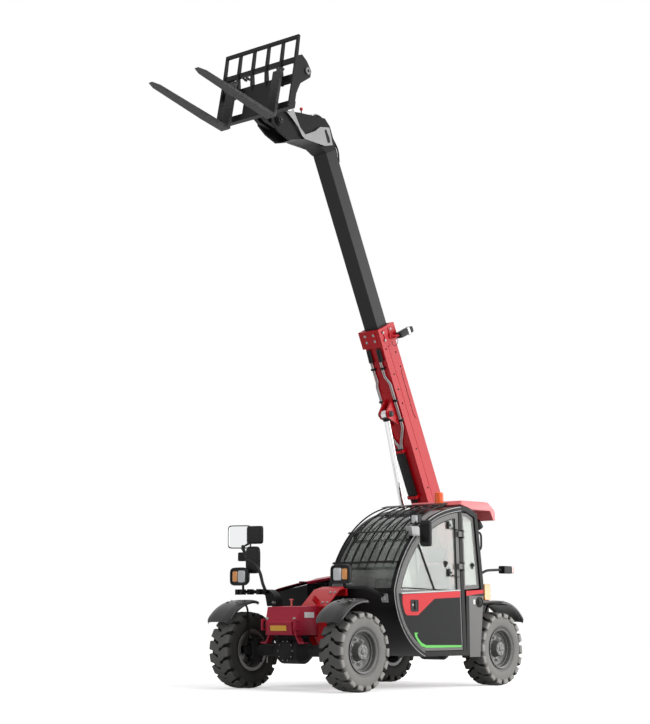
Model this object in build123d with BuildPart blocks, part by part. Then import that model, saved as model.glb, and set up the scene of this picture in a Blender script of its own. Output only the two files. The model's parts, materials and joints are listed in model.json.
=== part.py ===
from build123d import *
import os
from math import atan2, cos, degrees, hypot, radians, sin, sqrt

# Compact electric telehandler, boom raised and run out, millimetres.
# X runs forward, Y to the left (the cab's side), Z up, and the ground is Z = 0.

# Running gear
mid_x = -570.0
wheelbase = 2480.0
track = 1580.0
tyre_diameter = 832.0
tyre_width = 302.0
rim_radius = 212.0
rim_inner_radius = 186.0
rim_width = 252.0
rim_flange = 14.0
rim_disc_thickness = 16.0
rim_dish = 20.0
tyre_facets = 30
lug_count = 18
lug_width = 50.0
lug_height = 27.0
lug_skew = 16.0
shoulder_drop = 30.0
sidewall_inset = 11.0
hub_radius = 92.0
hub_length = 96.0
spindle_radius = 44.0
king_pin_inset = 140.0
king_pin_radius = 20.0
yoke_half_length = 45.0
arm_thickness = 24.0
arm_reach = 160.0
yoke_ear_thickness = 30.0
knuckle_height = 188.0
knuckle_radius = 58.0
axle_tube_radius = 62.0
axle_housing_radius = 140.0
fender_radius = 506.0
fender_thickness = 9.0
fender_lip = 26.0
fender_crown = 16.0
fender_low = 34.0
fender_high = 104.0
fender_post = 36.0
fender_width = 356.0
running_gap = 0.3
side_gap = 5.0

axle_z = tyre_diameter / 2
tyre_radius = tyre_diameter / 2
half_base = wheelbase / 2
half_track = track / 2
king_pin_y = half_track - king_pin_inset

# Boom
boom_y = -200.0
pivot_x = -1600.0
pivot_z = 1620.0
boom_angle = 64.5
pivot_pin_radius = 40.0
outer_width = 256.0
outer_depth = 280.0
outer_wall = 10.0
outer_length = 2830.0
outer_tail = 150.0
collar_length = 210.0
collar_extra = 24.0
inner_width = 200.0
inner_depth = 190.0
inner_wall = 10.0
inner_end = 4990.0
boom_stroke = 1900.0
inner_overlap = 770.0

# Lift cylinder
lift_base_x = -1250.0
lift_base_z = 700.0
lift_eye_along = 1830.0
lift_eye_drop = 280.0
lift_barrel_radius = 62.0
lift_barrel_length = 1330.0
lift_rod_radius = 35.0
lift_pin_radius = 25.0
eye_radius = 52.0
lift_eye_width = 70.0

# Head and tilt cylinder
tilt_x = 1450.0
tilt_z = 6280.0
head_half_width = 110.0
head_plate = 24.0
tilt_pin_radius = 30.0
tilt_base_x = 604.0
tilt_base_z = 6241.0
tilt_lever_radius = 180.0
tilt_lever_angle = 80.0
tilt_barrel_radius = 42.0
tilt_barrel_length = 600.0
tilt_rod_radius = 22.0
tilt_eye_radius = 36.0
tilt_eye_width = 40.0

# Carriage and forks
fork_angle = 11.5
carriage_right_y = -760.0
carriage_left_y = 360.0
fork_length = 1200.0
fork_width = 120.0
fork_thickness = 42.0
fork_spread = 350.0

# Chassis
plate_gap = 10.0
plate_thickness = 25.0
frame_bottom_z = 360.0
frame_axle_z = 560.0
frame_top_z = 890.0
nose_right_y = -310.0
nose_left_y = 190.0
nose_bottom_z = 580.0
nose_rear_x = 1140.0
weight_half_width = 395.0
weight_corner = 50.0
rear_x = -1800.0
deck_left_y = 330.0
deck_thickness = 12.0
tie_bore_radius = 16.0
tie_bore_out = 30.0
tie_plate = 16.0
tie_width = 76.0
tie_foot = 62.0
tie_x = 1385.0
tie_z = 492.0
clevis_bore_radius = 16.0
clevis_reach = 60.0
clevis_plate = 25.0
clevis_z = 690.0
clevis_opening = 50.0

# Cab
cab_left_y = 930.0
cab_right_y = 0.0
cab_floor_z = 350.0
hoop_width = 50.0
hoop_depth = 55.0
belt_z = 1060.0
belt_height = 50.0
glass_thickness = 6.0
door_thickness = 40.0
door_gap = 6.0
door_frame = 60.0
hinge_x = -478.0
hinge_y = 950.0
hinge_pin_radius = 8.0
hinge_barrel_radius = 15.0
hinge_barrel_length = 60.0
hinge_heights = (1330.0, 1690.0)
pillar_x = -548.0
pillar_width = 60.0
roof_thickness = 25.0
panel_thickness = 20.0
wheelhouse_x = -715.0
guard_gap = 45.0
guard_bar = 14.0
guard_bars = 8
guard_rungs = ((1345, 1370), (1690, 1710), (2008, 2060))
cab_mid_y = (cab_left_y + cab_right_y) / 2
quarter_light = [(-527, 1075), (-835, 1095), (-735, 1880), (-620, 1930), (-497, 1935)]

# Right-hand bay and hood
bay_left_y = -390.0
bay_right_y = -930.0
bay_wall = 30.0
bay_rear_x = -850.0
bay_front_x = 720.0
hood_front_x = 1030.0
hood_thickness = 38.0
louvre_depth = 10.0
louvre_pitch = 44.0
louvre_width = 18.0
hood_axis_y = -380.0
hood_axis_z = 1262.0
hood_pin_radius = 8.0
hood_hinges = (-350.0, 150.0)

os.makedirs("parts", exist_ok=True)


# Working planes
def side_plane(y):
    """Upright plane at one lateral station: x forward from mid-wheelbase, y up, extruded to the right."""
    return Plane(origin=(mid_x, y, 0), x_dir=(1, 0, 0), z_dir=(0, -1, 0))


def tilted_plane(x, z, angle, y):
    """Side plane whose x axis is raised by an angle about a point of the side view."""
    forward = (cos(radians(angle)), 0, sin(radians(angle)))
    return Plane(origin=(mid_x + x, y, z), x_dir=forward, z_dir=(0, -1, 0))


def boom_plane(y):
    """Side plane along the raised boom, from its pivot."""
    return tilted_plane(pivot_x, pivot_z, boom_angle, y)


def head_point(along, up):
    """A place given along and above the raised boom, in the side view."""
    c, s = cos(radians(boom_angle)), sin(radians(boom_angle))
    return (pivot_x + along * c - up * s, pivot_z + along * s + up * c)


def carriage_plane(y):
    """Side plane of the carriage, from the tilt pin, with x along the forks."""
    return tilted_plane(tilt_x, tilt_z, fork_angle, y)


# Shared shapes
def slab(plane, points, thickness, mode=Mode.ADD):
    """Straight-sided outline pulled into a plate."""
    with BuildSketch(plane) as outline:
        with BuildLine():
            Polyline(*points, close=True)
        make_face()
    extrude(outline.sketch, amount=thickness, mode=mode)


def bar(plane, x0, x1, y0, y1, thickness, mode=Mode.ADD):
    """Rectangular outline pulled into a block."""
    slab(plane, [(x0, y0), (x1, y0), (x1, y1), (x0, y1)], thickness, mode)


def drum(plane, centre, radius, length, mode=Mode.ADD):
    """Round boss, pin or hole across a side plane."""
    with BuildSketch(plane) as disc:
        with Locations(centre):
            Circle(radius)
    extrude(disc.sketch, amount=length, mode=mode)


def rod_between(start, end, radius):
    """Round bar between two points in space."""
    a, b = Vector(*start), Vector(*end)
    axis = b - a
    side = Vector(0, 0, 1).cross(axis)
    side = Vector(1, 0, 0) if side.length < 1 else side.normalized()
    with BuildSketch(Plane(origin=a, x_dir=side, z_dir=axis.normalized())) as disc:
        Circle(radius)
    extrude(disc.sketch, amount=axis.length)


def pipe(points, radius, bends):
    """Tube along straight runs joined by bends."""
    with BuildLine() as path:
        FilletPolyline(*points, radius=bends)
    with BuildSketch(Plane(origin=path.line @ 0, z_dir=path.line % 0)) as section:
        Circle(radius)
    sweep(section.sketch, path=path.line)


def save(builder, name):
    builder.part.label = name
    export_step(builder.part, f"parts/{name}.step")



# Wheels, built once on the left and turned for the right
def ring(sections, mode=Mode.ADD):
    """Many-sided body or hole lofted through sections that stand across the axle."""
    faces = []
    for y, radius in sections:
        with BuildSketch(Plane.XZ.offset(-y)) as section:
            RegularPolygon(radius, tyre_facets, major_radius=False)
        faces.append(section.sketch)
    loft(faces, ruled=True, mode=mode)


def make_tyre(x, side, name):
    """Carcass with its bead seated on the rim, and two rows of staggered lugs out to the tips."""
    half = tyre_width / 2
    wall_y = half - sidewall_inset
    base_radius = tyre_radius - lug_height
    bead_radius = rim_radius + running_gap
    flange_radius = rim_radius + rim_flange
    flange_y = rim_width / 2 - 20
    lug_lean = sin(radians(lug_skew))
    lug_reach = half * 0.75 * lug_lean + lug_width / 2
    lug_top = sqrt(tyre_radius**2 - lug_reach**2)
    lug_end = half - lug_lean * lug_width / 2
    with BuildPart() as lug:
        with BuildSketch(Plane.YZ) as outline:
            with BuildLine():
                Polyline(
                    (-6, base_radius - 12),
                    (-6, lug_top),
                    (half * 0.62, lug_top),
                    (lug_end - 8, tyre_radius - shoulder_drop),
                    (lug_end, tyre_radius - 2 * shoulder_drop),
                    (lug_end, base_radius - 2 * lug_height),
                    (lug_end - 20, base_radius - 2 * lug_height - 6),
                    close=True,
                )
            make_face()
        extrude(outline.sketch, amount=lug_width / 2, both=True)
    shoulder = Pos(0, half * 0.7, 0)
    left_lug = shoulder * Rot(0, 0, lug_skew) * Pos(0, -half * 0.7, 0) * lug.part
    right_lug = mirror(left_lug, about=Plane.XZ)
    pitch = 360 / lug_count
    lugs = [Rot(0, index * pitch, 0) * left_lug for index in range(lug_count)]
    lugs += [Rot(0, (index + 0.5) * pitch, 0) * right_lug for index in range(lug_count)]
    with BuildPart() as tyre:
        ring([(-wall_y, base_radius - 46), (-wall_y + 24, base_radius), (wall_y - 24, base_radius), (wall_y, base_radius - 46)])
        add(lugs)
        ring([(-half - 1, bead_radius), (half + 1, bead_radius)], Mode.SUBTRACT)
        for out in (1, -1):
            ring(
                [
                    (out * flange_y, flange_radius + 2),
                    (out * (wall_y - 16), flange_radius + 8),
                    (out * (half + 1), flange_radius + 74),
                ],
                Mode.SUBTRACT,
            )
    placed = Location((mid_x + x, side * half_track, axle_z)) * tyre.part
    placed.label = name
    export_step(placed, f"parts/{name}.step")


def make_rim(x, side, name):
    """Dished disc wheel with its turning hub; +Y of the section faces out."""
    half = rim_width / 2
    disc = rim_dish + rim_disc_thickness
    with BuildPart() as rim:
        with BuildSketch(Plane.XY) as section:
            with BuildLine():
                Polyline(
                    (rim_inner_radius, -half),
                    (rim_radius + rim_flange, -half),
                    (rim_radius, -half + 16),
                    (rim_radius, half - 16),
                    (rim_radius + rim_flange, half),
                    (rim_inner_radius + 8, half),
                    (rim_inner_radius, disc + 10),
                    (hub_radius, disc),
                    (hub_radius - 14, rim_dish + hub_length),
                    (0, rim_dish + hub_length),
                    (0, rim_dish - 6),
                    (spindle_radius + running_gap, rim_dish - 6),
                    (spindle_radius + running_gap, -60),
                    (hub_radius - 14, -60),
                    (hub_radius - 14, rim_dish),
                    (rim_inner_radius, rim_dish),
                    close=True,
                )
            make_face()
        revolve(section.sketch, axis=Axis.Y)
    turned = rim.part if side > 0 else Rot(0, 0, 180) * rim.part
    placed = Location((mid_x + x, side * half_track, axle_z)) * turned
    placed.label = name
    export_step(placed, f"parts/{name}.step")


def make_knuckle(x, side, name):
    """Swivel between the axle's ears, with its spindle, flange and fender arm; built for the front left."""
    inner = -king_pin_inset
    with BuildPart() as knuckle:
        with Locations((0, inner, 0)):
            Cylinder(knuckle_radius, knuckle_height)
            Cylinder(king_pin_radius, knuckle_height + 2 * yoke_ear_thickness)
        with Locations((0, inner + 40, 0)):
            Box(90, 60, 120)
        with BuildSketch(Plane.XZ.offset(-(inner + 62))) as flange:
            Circle(78)
        extrude(flange.sketch, amount=-10)
        with BuildSketch(Plane.XZ.offset(-(inner + 70))) as spindle:
            Circle(spindle_radius)
        extrude(spindle.sketch, amount=-(rim_dish - 8 - inner - 70))
        with Locations((arm_reach / 2 + 15, inner - 4 - arm_thickness / 2, 0)):
            Box(arm_reach - 30, arm_thickness, 90)
    turned = knuckle.part if x > 0 else mirror(knuckle.part, about=Plane.YZ)
    turned = turned if side > 0 else mirror(turned, about=Plane.XZ)
    placed = Location((mid_x + x, side * half_track, axle_z)) * turned
    placed.label = name
    export_step(placed, f"parts/{name}.step")


def make_fender(x, side, name):
    """Crowned guard with turned-down lips, on a post that stands on the knuckle's arm; built for the front left."""
    inner_y = -king_pin_inset - 43
    outer_y = inner_y + fender_width
    crown = fender_radius + fender_lip + fender_crown
    slope = 45
    wall = fender_thickness
    start = radians(fender_high)
    upright = Plane(origin=(0, 0, 0), x_dir=(cos(start), 0, sin(start)), z_dir=(-sin(start), 0, cos(start)))
    with BuildPart() as fender:
        with BuildSketch(upright) as section:
            with BuildLine():
                Polyline(
                    (fender_radius, inner_y),
                    (fender_radius + fender_lip, inner_y),
                    (crown, inner_y + slope),
                    (crown, outer_y - slope),
                    (fender_radius + fender_lip, outer_y),
                    (fender_radius, outer_y),
                    (fender_radius, outer_y - wall),
                    (fender_radius + fender_lip - wall / 2, outer_y - wall),
                    (crown - wall, outer_y - slope),
                    (crown - wall, inner_y + slope),
                    (fender_radius + fender_lip - wall / 2, inner_y + wall),
                    (fender_radius, inner_y + wall),
                    close=True,
                )
            make_face()
        revolve(section.sketch, axis=Axis.Y, revolution_arc=fender_high - fender_low)
        post_x = arm_reach - 20
        stay_top = sqrt((crown - wall + 4) ** 2 - (post_x - fender_post / 2) ** 2) - 5
        with BuildSketch(Plane.XZ.offset(-(inner_y + 26))) as post:
            with Locations((post_x, (stay_top - 5 + 45) / 2)):
                Rectangle(fender_post, stay_top - 5 - 45)
        extrude(post.sketch, amount=20)
        with BuildSketch(Plane.XZ.offset(-(outer_y - slope))) as stay:
            with Locations((post_x, stay_top - 10)):
                Rectangle(fender_post, 20)
        extrude(stay.sketch, amount=outer_y - slope - inner_y - 6)
    turned = fender.part if x > 0 else mirror(fender.part, about=Plane.YZ)
    turned = turned if side > 0 else mirror(turned, about=Plane.XZ)
    placed = Location((mid_x + x, side * half_track, axle_z)) * turned
    placed.label = name
    export_step(placed, f"parts/{name}.step")



for x_end, end_name in ((half_base, "front"), (-half_base, "rear")):
    for y_side, side_name in ((1, "left"), (-1, "right")):
        make_tyre(x_end, y_side, f"tyre_{end_name}_{side_name}")
        make_rim(x_end, y_side, f"rim_{end_name}_{side_name}")
        make_knuckle(x_end, y_side, f"knuckle_{end_name}_{side_name}")
        make_fender(x_end, y_side, f"fender_{end_name}_{side_name}")


# Axles: housing, tubes and the forked ends that hold the king pins
def make_axle(x, name, mount_y, mount_z):
    web_y = king_pin_y - knuckle_radius - side_gap
    ear_z = knuckle_height / 2 + side_gap
    ear_end = king_pin_y + 46
    with BuildPart() as axle:
        with BuildSketch(Plane.XY) as section:
            with BuildLine():
                Polyline(
                    (0, -web_y),
                    (axle_tube_radius - 20, -web_y),
                    (axle_tube_radius, -web_y + 60),
                    (axle_tube_radius, -300),
                    (axle_housing_radius, -190),
                    (axle_housing_radius, 90),
                    (axle_tube_radius, 200),
                    (axle_tube_radius, web_y - 60),
                    (axle_tube_radius - 20, web_y),
                    (0, web_y),
                    close=True,
                )
            make_face()
        revolve(section.sketch, axis=Axis.Y)
        for side in (1, -1):
            with Locations((0, side * (web_y - 15), 0)):
                Box(2 * yoke_half_length, 30, 2 * (ear_z + yoke_ear_thickness))
            for up in (1, -1):
                with Locations((0, side * (web_y - 15 + ear_end) / 2, up * (ear_z + yoke_ear_thickness / 2))):
                    Box(2 * yoke_half_length, ear_end - web_y + 15, yoke_ear_thickness)
        with Locations((0, mount_y, mount_z - axle_z - 40)):
            Box(150, 2 * (outer_width / 2 + plate_gap + plate_thickness), 80)
        for side in (1, -1):
            with Locations((0, side * king_pin_y, 0)):
                Cylinder(king_pin_radius + running_gap, 600, mode=Mode.SUBTRACT)
    placed = Location((mid_x + x, 0, axle_z)) * axle.part
    placed.label = name
    export_step(placed, f"parts/{name}.step")


make_axle(half_base, "front_axle", (nose_left_y + nose_right_y) / 2, nose_bottom_z)
make_axle(-half_base, "rear_axle", boom_y, frame_axle_z)

# Chassis: two upright plates, the tower between which the boom hangs, and cross members
plate_in = outer_width / 2 + plate_gap
plate_out = plate_in + plate_thickness
with BuildPart() as chassis:
    outline = [
        (rear_x + 60, frame_axle_z),
        (-950, frame_axle_z),
        (-850, frame_bottom_z),
        (760, frame_bottom_z),
        (900, frame_axle_z),
        (nose_rear_x - 30, frame_axle_z),
        (nose_rear_x - 30, frame_top_z - 30),
        (600, frame_top_z),
        (-900, frame_top_z),
        (-1220, 1060),
        (pivot_x + 125, pivot_z + 40),
        (pivot_x + 70, pivot_z + 110),
        (pivot_x - 70, pivot_z + 110),
        (pivot_x - 125, pivot_z + 40),
        (rear_x + 60, 980),
    ]
    slab(side_plane(boom_y + plate_out), outline, plate_thickness)
    slab(side_plane(boom_y - plate_in), outline, plate_thickness)
    # Lightening holes through both plates
    for x, z, radius in ((-1450, 1290, 70), (-1480, 1060, 90), (-500, 640, 110), (-150, 640, 110), (200, 640, 110)):
        drum(side_plane(boom_y + plate_out + 1), (x, z), radius, 2 * plate_out + 2, Mode.SUBTRACT)
    # Doubling rings and gussets that stiffen the tower
    for y in (boom_y + plate_out + 14, boom_y - plate_out):
        drum(side_plane(y), (pivot_x, pivot_z), 95, 14)
        slab(side_plane(y), [(-1500, 1080), (-1420, 1080), (pivot_x + 60, pivot_z - 60), (pivot_x, pivot_z - 60)], 14)
    belly = side_plane(boom_y + plate_in)
    bar(belly, -860, 760, frame_bottom_z, frame_bottom_z + 20, 2 * plate_in)
    bar(belly, rear_x + 60, rear_x + 80, frame_axle_z, 1000, 2 * plate_in)
    bar(belly, 900, nose_rear_x - 30, frame_axle_z, frame_axle_z + 20, 2 * plate_in)
    bar(belly, -1500, -1000, frame_axle_z, frame_axle_z + 20, 2 * plate_in)
    # Front cross plate that the nose is bolted to
    front_plate = nose_left_y + 20 - (boom_y - plate_out)
    bar(side_plane(nose_left_y + 20), nose_rear_x - 30, nose_rear_x, frame_axle_z, frame_top_z, front_plate)
    # Sloped deck on the left, between the nose and the cab, with its struts
    deck = [
        (nose_rear_x, frame_top_z - deck_thickness),
        (nose_rear_x, frame_top_z),
        (930, 1065),
        (790, 1100),
        (790, 1100 - deck_thickness),
        (925, 1065 - deck_thickness),
    ]
    deck_width = deck_left_y - (boom_y + plate_out) + 1
    slab(side_plane(deck_left_y), deck, deck_width)
    strut = [(nose_rear_x - 30, 640), (nose_rear_x, 640), (nose_rear_x, 885), (925, 1056), (800, 1090), (800, 1070), (905, 1035)]
    for y in (nose_left_y + 20, 20):
        slab(side_plane(y), strut, 16)
    bar(side_plane(deck_left_y), 800, 830, 1000, 1092, deck_width)
    # Pivot pin of the boom and base pin of the lift cylinder
    drum(side_plane(boom_y + plate_out + 26), (pivot_x, pivot_z), pivot_pin_radius, 2 * plate_out + 52)
    drum(side_plane(boom_y + plate_in), (lift_base_x, lift_base_z), lift_pin_radius, 2 * plate_in)
    for x0 in (-700, 100):
        bar(side_plane(cab_right_y), x0, x0 + 120, 420, 560, cab_right_y - boom_y - plate_out)
        bar(side_plane(boom_y - plate_out), x0, x0 + 120, 420, 560, boom_y - plate_out - bay_left_y)
save(chassis, "chassis_frame")

# Nose: box over the front axle with its lower bumper, corner guards and tie-down hooks
with BuildPart() as nose:
    nose_width = nose_left_y - nose_right_y
    slab(
        side_plane(nose_left_y),
        [
            (nose_rear_x, nose_bottom_z),
            (1440, nose_bottom_z),
            (1462, 700),
            (1380, 880),
            (nose_rear_x, frame_top_z),
        ],
        nose_width,
    )
    corner = 46
    for side in (1, -1):
        edge = (nose_left_y + nose_right_y) / 2 + side * nose_width / 2
        with BuildSketch(Plane.XY.offset(nose_bottom_z - 1)) as bevel:
            with BuildLine():
                Polyline(
                    (mid_x + 1470, edge),
                    (mid_x + 1470 - 2 * corner, edge),
                    (mid_x + 1470, edge - side * corner),
                    close=True,
                )
            make_face()
        extrude(bevel.sketch, amount=400, mode=Mode.SUBTRACT)
    bumper = [(1400, nose_bottom_z), (1462, nose_bottom_z + 8), (1480, 715), (1450, 730), (1400, 730)]
    slab(side_plane(nose_left_y - 70), bumper, nose_width - 140)
    guard_ring = [
        (1380, 752), (1494, 752), (1494, 632), (1380, 632), (1380, 652), (1476, 652), (1476, 732), (1380, 732)
    ]
    for y in (nose_left_y - 8, nose_right_y + 28):
        slab(side_plane(y), guard_ring, 20)
    # Tie-down hooks: flat strips bent outwards under the nose, with a hole through each foot
    for edge, out in ((nose_left_y, 1), (nose_right_y, -1)):
        across = Plane(origin=(mid_x + tie_x - tie_width / 2, edge, 0), x_dir=(0, 1, 0), z_dir=(1, 0, 0))
        foot_top = tie_z + tie_plate
        hook = [
            (-70, nose_bottom_z + 1),
            (-50, nose_bottom_z + 1),
            (-8, foot_top),
            (tie_foot, foot_top),
            (tie_foot, tie_z),
            (-18, tie_z),
        ]
        slab(across, [(out * reach, z) for reach, z in hook], tie_width)
        with BuildSketch(Plane.XY.offset(tie_z - 1)) as eye:
            with Locations((mid_x + tie_x, edge + out * tie_bore_out)):
                Circle(tie_bore_radius)
        extrude(eye.sketch, amount=tie_plate + 2, mode=Mode.SUBTRACT)
save(nose, "nose_box")

# Counterweight, cut round the frame's tail, with the towing clevis behind
with BuildPart() as weight:
    profile = [
        (rear_x, 640),
        (rear_x + 60, 570),
        (-1420, 570),
        (-1420, 1010),
        (-1500, 1060),
        (rear_x + 50, 1060),
        (rear_x, 960),
    ]
    slab(side_plane(weight_half_width), profile, 2 * weight_half_width)
    bar(side_plane(boom_y + plate_out), rear_x + 60, -1300, 400, 1200, 2 * plate_out, Mode.SUBTRACT)
    for side in (1, -1):
        with BuildSketch(Plane.XY.offset(400)) as round_off:
            with BuildLine():
                Polyline(
                    (mid_x + rear_x - 1, side * (weight_half_width + 1)),
                    (mid_x + rear_x + weight_corner, side * (weight_half_width + 1)),
                    (mid_x + rear_x - 1, side * (weight_half_width - weight_corner)),
                    close=True,
                )
            make_face()
        extrude(round_off.sketch, amount=800, mode=Mode.SUBTRACT)
    for up in (1, -1):
        z = clevis_z + up * (clevis_opening + clevis_plate) / 2
        with BuildSketch(Plane.XY.offset(z - clevis_plate / 2)) as clevis:
            with BuildLine():
                Polyline(
                    (mid_x + rear_x + 20, -70),
                    (mid_x + rear_x - clevis_reach + 25, -45),
                    (mid_x + rear_x - clevis_reach, -20),
                    (mid_x + rear_x - clevis_reach, 20),
                    (mid_x + rear_x - clevis_reach + 25, 45),
                    (mid_x + rear_x + 20, 70),
                    close=True,
                )
            make_face()
            with Locations((mid_x + rear_x - clevis_reach / 2, 0)):
                Circle(clevis_bore_radius, mode=Mode.SUBTRACT)
        extrude(clevis.sketch, amount=clevis_plate)
save(weight, "counterweight")

with BuildPart() as battery:
    bar(side_plane(bay_left_y - bay_wall - 20), -640, 500, cab_floor_z + bay_wall, 1000, 430)
save(battery, "battery_pack")

# Right-hand bay: an open tub under the hood, with louvred side and the hood's hinge brackets
with BuildPart() as bay:
    skin = [
        (bay_rear_x, 900),
        (bay_rear_x + 150, 880),
        (bay_rear_x + 150, cab_floor_z),
        (560, cab_floor_z),
        (bay_front_x, 560),
        (bay_front_x, 985),
        (hood_front_x - 10, 1000),
        (hood_front_x - 10, 1040),
        (0, 1210),
        (bay_rear_x, 1165),
    ]
    slab(side_plane(bay_left_y), skin, bay_left_y - bay_right_y)
    hollow = [
        (bay_rear_x + bay_wall, 900 + bay_wall),
        (bay_rear_x + 150 + bay_wall, 880 + bay_wall),
        (bay_rear_x + 150 + bay_wall, cab_floor_z + bay_wall),
        (545, cab_floor_z + bay_wall),
        (bay_front_x - bay_wall, 575),
        (bay_front_x - bay_wall, 1300),
        (bay_rear_x + bay_wall, 1300),
    ]
    slab(side_plane(bay_left_y - bay_wall), hollow, bay_left_y - bay_right_y - 2 * bay_wall, Mode.SUBTRACT)
    louvred = side_plane(bay_right_y + louvre_depth)
    for x0 in (-520, 60):
        for index in range(6):
            z0 = 620 + index * louvre_pitch
            bar(louvred, x0, x0 + 420, z0, z0 + louvre_width, louvre_depth + 1, Mode.SUBTRACT)
    for x0 in hood_hinges:
        bar(side_plane(hood_axis_y + 12), x0 - 32, x0 - 12, 1120, hood_axis_z - 74, 24)
        bar(side_plane(hood_axis_y + 12), x0 - 32, x0 - 12, hood_axis_z - 74, hood_axis_z + 12, 9)
        bar(side_plane(hood_axis_y + 12), x0 - 32, x0 - 12, hood_axis_z - 12, hood_axis_z + 12, 24)
        with BuildSketch(Plane(origin=(mid_x + x0 - 14, hood_axis_y, hood_axis_z), z_dir=(1, 0, 0))) as pin:
            Circle(hood_pin_radius)
        extrude(pin.sketch, amount=30)
save(bay, "side_bay")

with BuildPart() as hood:
    top = [
        (bay_rear_x, 1171),
        (0, 1216),
        (hood_front_x, 1046),
        (hood_front_x + 20, 1060),
        (hood_front_x, 1084),
        (0, 1216 + hood_thickness),
        (bay_rear_x, 1171 + hood_thickness),
    ]
    hood_left = hood_axis_y - 5
    slab(side_plane(hood_left), top, hood_left - bay_right_y)
    # Raised centre panel and a field of louvres
    raised = [(-780, 1200), (0, 1240), (760, 1115), (740, 1132), (0, 1216 + hood_thickness + 14), (-760, 1214 + 12)]
    slab(side_plane(hood_left - 70), raised, hood_left - bay_right_y - 140)
    slope = degrees(atan2(45, -bay_rear_x))
    deck_plane = tilted_plane(bay_rear_x, 1171 + hood_thickness, slope, hood_left - 120)
    for index in range(7):
        x0 = 130 + index * louvre_pitch
        bar(deck_plane, x0, x0 + louvre_width, 3, 40, hood_left - bay_right_y - 240, Mode.SUBTRACT)
    for x0 in hood_hinges:
        bar(side_plane(hood_axis_y + 12), x0 - 9, x0 + 9, hood_axis_z - 12, hood_axis_z + 12, 24)
        bar(side_plane(hood_left), x0 - 9, x0 + 9, 1205, hood_axis_z + 12, 12)
        with BuildSketch(Plane(origin=(mid_x + x0 - 12, hood_axis_y, hood_axis_z), z_dir=(1, 0, 0))) as bore:
            Circle(hood_pin_radius + running_gap)
        extrude(bore.sketch, amount=24, mode=Mode.SUBTRACT)
save(hood, "hood")



# Cab outline in the side view: sill, bowed front, windscreen, roof and rear
def cab_outline(inset=0.0):
    """Closed line of the cab's side, drawn in by an inset."""
    front_low = (222, cab_floor_z)
    front_high = (747, belt_z)
    roof_front = (-87, 1920)
    roof_rear = (-579, 2011)
    with BuildSketch() as shape:
        with BuildLine():
            Line((pillar_x - 62, cab_floor_z), front_low)
            ThreePointArc(front_low, (560, 585), front_high)
            ThreePointArc(front_high, (530, 1487), roof_front)
            ThreePointArc(roof_front, (-335, 1980), roof_rear)
            Polyline(
                roof_rear,
                (-789, 1931),
                (-898, 1097),
                (-890, belt_z - belt_height),
                (pillar_x - 62, belt_z - belt_height),
                (pillar_x - 62, cab_floor_z),
            )
        make_face()
        if inset:
            offset(amount=-inset)
    return shape.sketch


def crop(sketch, x0, x1, z0, z1):
    """The part of a side outline between two stations and two heights."""
    with BuildSketch() as window:
        with Locations(((x0 + x1) / 2, (z0 + z1) / 2)):
            Rectangle(x1 - x0, z1 - z0)
    return sketch & window.sketch


def on_side(sketch, y):
    """Cab-outline sketch set upright at a lateral station."""
    return side_plane(y).location * sketch


with BuildPart() as cab_frame:
    ring = cab_outline() - cab_outline(hoop_depth)
    extrude(on_side(ring, cab_left_y), amount=hoop_width)
    extrude(on_side(ring, cab_right_y + hoop_width), amount=hoop_width)
    inside = cab_left_y - cab_right_y - 2 * hoop_width
    across = side_plane(cab_left_y - hoop_width)
    slab(side_plane(cab_left_y), [(pillar_x, 390), (pillar_x + pillar_width, 390), (-430, 1965), (-490, 1965)], hoop_width)
    bar(across, -600, -550, 1930, 1970, inside)
    bar(across, -860, -845, 1090, 1140, inside)
    bar(across, -125, -80, 1850, 1885, inside)
    bar(across, 680, 720, belt_z - 25, belt_z + 15, inside)
    # Door hinges: a pin between two lugs on the pillar
    for z in hinge_heights:
        for up in (1, -1):
            lug_z = z + up * (hinge_barrel_length / 2 + 8)
            with Locations((mid_x + hinge_x - 4, (cab_left_y - 4 + hinge_y + 12) / 2, lug_z)):
                Box(34, hinge_y + 16 - cab_left_y, 14)
        with Locations((mid_x + hinge_x, hinge_y, z)):
            Cylinder(hinge_pin_radius, hinge_barrel_length + 20)
save(cab_frame, "cab_frame")

inner_left = cab_left_y - hoop_width
inner_right = cab_right_y + hoop_width
clear_width = inner_left - inner_right
with BuildPart() as tub:
    bar(side_plane(inner_left), wheelhouse_x, 150, cab_floor_z, cab_floor_z + panel_thickness, clear_width)
    curve = cab_outline(2) - cab_outline(panel_thickness)
    extrude(on_side(crop(curve, 215, 2000, 0, belt_z - 25), inner_left), amount=clear_width)
    bar(side_plane(inner_left), 140, 222, cab_floor_z, cab_floor_z + panel_thickness, clear_width)
    step = [
        (wheelhouse_x, cab_floor_z),
        (wheelhouse_x + panel_thickness, cab_floor_z),
        (wheelhouse_x + panel_thickness, 900),
        (-840, 900 + panel_thickness),
        (-840, 1090),
        (-860, 1090),
        (-860, 895),
        (wheelhouse_x, 880),
    ]
    slab(side_plane(inner_left), step, clear_width)
    right_wall = [
        (wheelhouse_x, cab_floor_z + panel_thickness),
        (200, cab_floor_z + panel_thickness),
        (500, 620),
        (640, belt_z - 60),
        (-840, belt_z - 60),
        (-840, 910),
        (wheelhouse_x, 890),
    ]
    slab(side_plane(inner_right + panel_thickness), right_wall, panel_thickness)
save(tub, "cab_tub")

with BuildPart() as quarter:
    rear_skin = [
        (pillar_x - 62, cab_floor_z - 20),
        (-810, cab_floor_z - 20),
        (-890, belt_z - belt_height),
        (pillar_x - 62, belt_z - belt_height),
    ]
    slab(side_plane(cab_left_y), rear_skin, panel_thickness)
save(quarter, "quarter_panel")

with BuildPart() as roof:
    shell = cab_outline(1) - cab_outline(roof_thickness)
    extrude(on_side(crop(shell, -2000, -85, 1900, 3000), inner_left), amount=clear_width)
save(roof, "cab_roof")

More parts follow.
